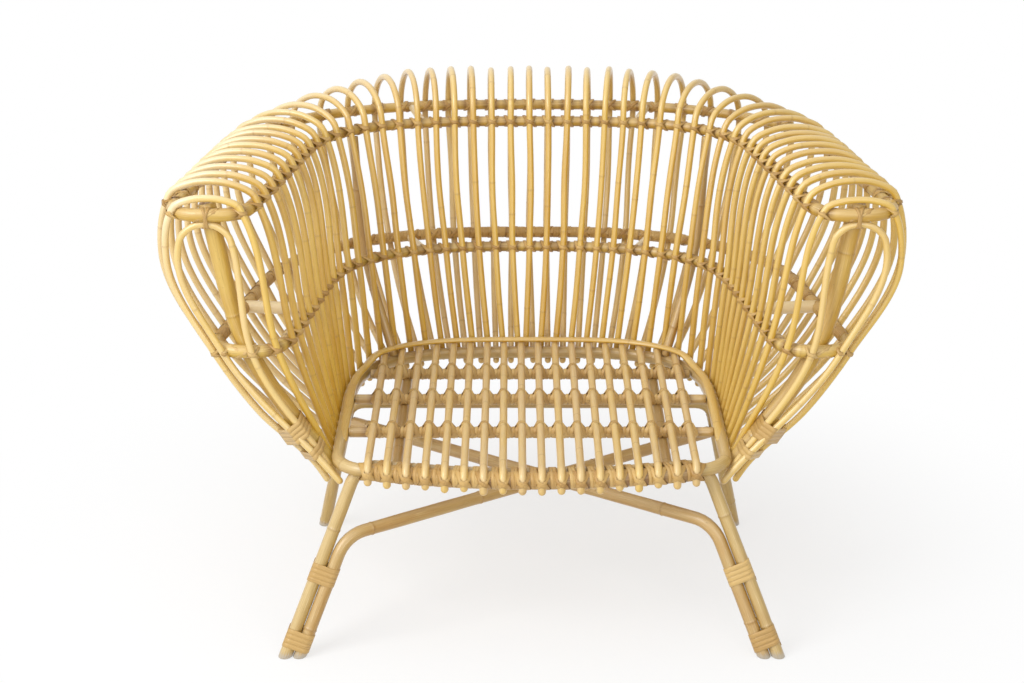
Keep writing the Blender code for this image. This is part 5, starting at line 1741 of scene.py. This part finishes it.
# Lamps: name of the power in the panel, place and size; and the point that they face
LAMPS = (("key", (-2.6, -2.4, 3.0), 2.4), ("fill", (0.8, -3.4, 1.5), 2.0), ("top", (-1.0, 0.2, 3.4), 3.0))
LAMPS_FACE = np.array([0.0, 0.0, 0.4])
SENSOR_WIDTH = 36.0
# Floor: half its width, roughness, scale and share of its faint clouds, and the distances from the middle
# between which it runs out to white, with the shares of white there
FLOOR_HALF = 12.0
FLOOR_ROUGHNESS = 0.9
FLOOR_CLOUD_SCALE = 0.7
FLOOR_CLOUD = 0.985
FLOOR_RUNS_OUT = (0.30, 1.05, 0.62, 1.0)


class RATTAN_OT_stage(bpy.types.Operator):
    """Set up the floor, the light and the camera"""

    bl_idname = "rattan.stage"
    bl_label = "Stage"

    def execute(self, context):
        scene = context.scene
        stage = scene.rattan_stage
        scene.view_settings.view_transform = "Standard"
        self.floor(scene, tuple(stage.floor))
        for name, place, size in LAMPS:
            lamp = bpy.data.lights.new(f"{name}_light", "AREA")
            lamp.size = size
            lamp.energy = getattr(stage, name)
            light = bpy.data.objects.new(lamp.name, lamp)
            light.location = place
            aim = LAMPS_FACE - np.array(place)
            light.rotation_euler = (np.arctan2(np.hypot(aim[0], aim[1]), -aim[2]), 0.0,
                                    np.arctan2(-aim[0], aim[1]))
            scene.collection.objects.link(light)
        self.sky(scene, stage.sky)
        lens = bpy.data.cameras.new("photo_camera")
        lens.sensor_fit = "HORIZONTAL"
        lens.sensor_width = SENSOR_WIDTH
        lens.lens = FOCAL_PIXELS / IMAGE_WIDTH * SENSOR_WIDTH
        camera = bpy.data.objects.new("photo_camera", lens)
        camera.location = CAMERA_PLACE
        camera.rotation_euler = (np.radians(90.0 - CAMERA_PITCH), 0.0, 0.0)
        scene.collection.objects.link(camera)
        scene.camera = camera
        return {"FINISHED"}

    def floor(self, scene, white):
        """A broad level sheet that takes the shadow near the chair and runs out to plain white."""
        mesh = bpy.data.meshes.new("floor")
        corners = np.array([(-1.0, -1.0, 0.0), (1.0, -1.0, 0.0), (1.0, 1.0, 0.0), (-1.0, 1.0, 0.0)])
        mesh.from_pydata(FLOOR_HALF * corners, [], [(0, 1, 2, 3)])
        material = bpy.data.materials.new("floor_white")
        material.use_nodes = True
        board = Board(material.node_tree)
        shader = material.node_tree.nodes["Principled BSDF"]
        shader.inputs["Roughness"].default_value = FLOOR_ROUGHNESS
        shader.inputs["Specular IOR Level"].default_value = 0.0
        spot = board.coordinate("Object")
        cloud = board.spread(board.noise(spot, FLOOR_CLOUD_SCALE), *PATCHES)
        colour = board.mix(cloud, (*white, 1.0), (*(FLOOR_CLOUD * part for part in white), 1.0))
        board.join(colour, shader.inputs["Base Color"])
        away = board.add("ShaderNodeVectorMath", operation="LENGTH")
        board.join(spot, away.inputs[0])
        share = board.times(board.looked_at(), board.spread(away.outputs["Value"], *FLOOR_RUNS_OUT))
        plain = board.add("ShaderNodeEmission", Color=WHITE, Strength=1.0)
        self.mix_shaders(board, share, shader, plain, material.node_tree.nodes["Material Output"])
        mesh.materials.append(material)
        floor = bpy.data.objects.new("floor", mesh)
        scene.collection.objects.link(floor)

    def sky(self, scene, strength):
        """White where the camera, gloss or glass looks, and an even soft light for everything else."""
        world = bpy.data.worlds.new("studio")
        world.use_nodes = True
        scene.world = world
        world.node_tree.nodes.clear()
        board = Board(world.node_tree)
        soft = board.add("ShaderNodeBackground", Color=WHITE, Strength=strength)
        plain = board.add("ShaderNodeBackground", Color=WHITE, Strength=1.0)
        self.mix_shaders(board, board.looked_at(), soft, plain, board.add("ShaderNodeOutputWorld"))

    def mix_shaders(self, board, share, first, second, output):
        """Two shaders mixed by a share and carried to the output."""
        mix = board.add("ShaderNodeMixShader")
        board.feed(mix.inputs, (share, first.outputs[0], second.outputs[0]))
        board.join(mix.outputs[0], output.inputs["Surface"])


class RATTAN_PT_panel(bpy.types.Panel):
    """Sidebar panel that lists the chair's pieces and what may be changed"""

    bl_idname = "RATTAN_PT_panel"
    bl_label = "Rattan Chair"
    bl_space_type = "VIEW_3D"
    bl_region_type = "UI"
    bl_category = "Rattan"

    def draw(self, context):
        for group in (context.scene.rattan_sizes, context.scene.rattan_colours, context.scene.rattan_stage):
            box = self.layout.box()
            for name in group.__annotations__:
                box.prop(group, name)
        for operator in OPERATORS:
            self.layout.operator(operator.bl_idname)


GROUPS = {"rattan_sizes": RattanSizes, "rattan_colours": RattanColours, "rattan_stage": RattanStage}
OPERATORS = (RATTAN_OT_stage, RATTAN_OT_hairpins, RATTAN_OT_front_loops, RATTAN_OT_rails, RATTAN_OT_seat_hoop,
             RATTAN_OT_seat_deck, RATTAN_OT_legs, RATTAN_OT_arm_posts, RATTAN_OT_rail_bindings,
             RATTAN_OT_seat_bindings, RATTAN_OT_bundle_bindings)
CLASSES = (*GROUPS.values(), *OPERATORS, RATTAN_PT_panel)


def register():
    """Make the classes known to Blender, and hang what may be changed on the scene."""
    for item in CLASSES:
        bpy.utils.register_class(item)
    for name, group in GROUPS.items():
        setattr(bpy.types.Scene, name, PointerProperty(type=group))


def unregister():
    """Take both away again."""
    for name in GROUPS:
        delattr(bpy.types.Scene, name)
    for item in reversed(CLASSES):
        bpy.utils.unregister_class(item)


def main():
    """Build the chair piece by piece."""
    register()
    bpy.ops.rattan.stage()
    bpy.ops.rattan.hairpins()
    bpy.ops.rattan.front_loops()
    bpy.ops.rattan.rails()
    bpy.ops.rattan.seat_hoop()
    bpy.ops.rattan.seat_deck()
    bpy.ops.rattan.legs()
    bpy.ops.rattan.arm_posts()
    bpy.ops.rattan.rail_bindings()
    bpy.ops.rattan.seat_bindings()
    bpy.ops.rattan.bundle_bindings()


if __name__ == "__main__":
    main()
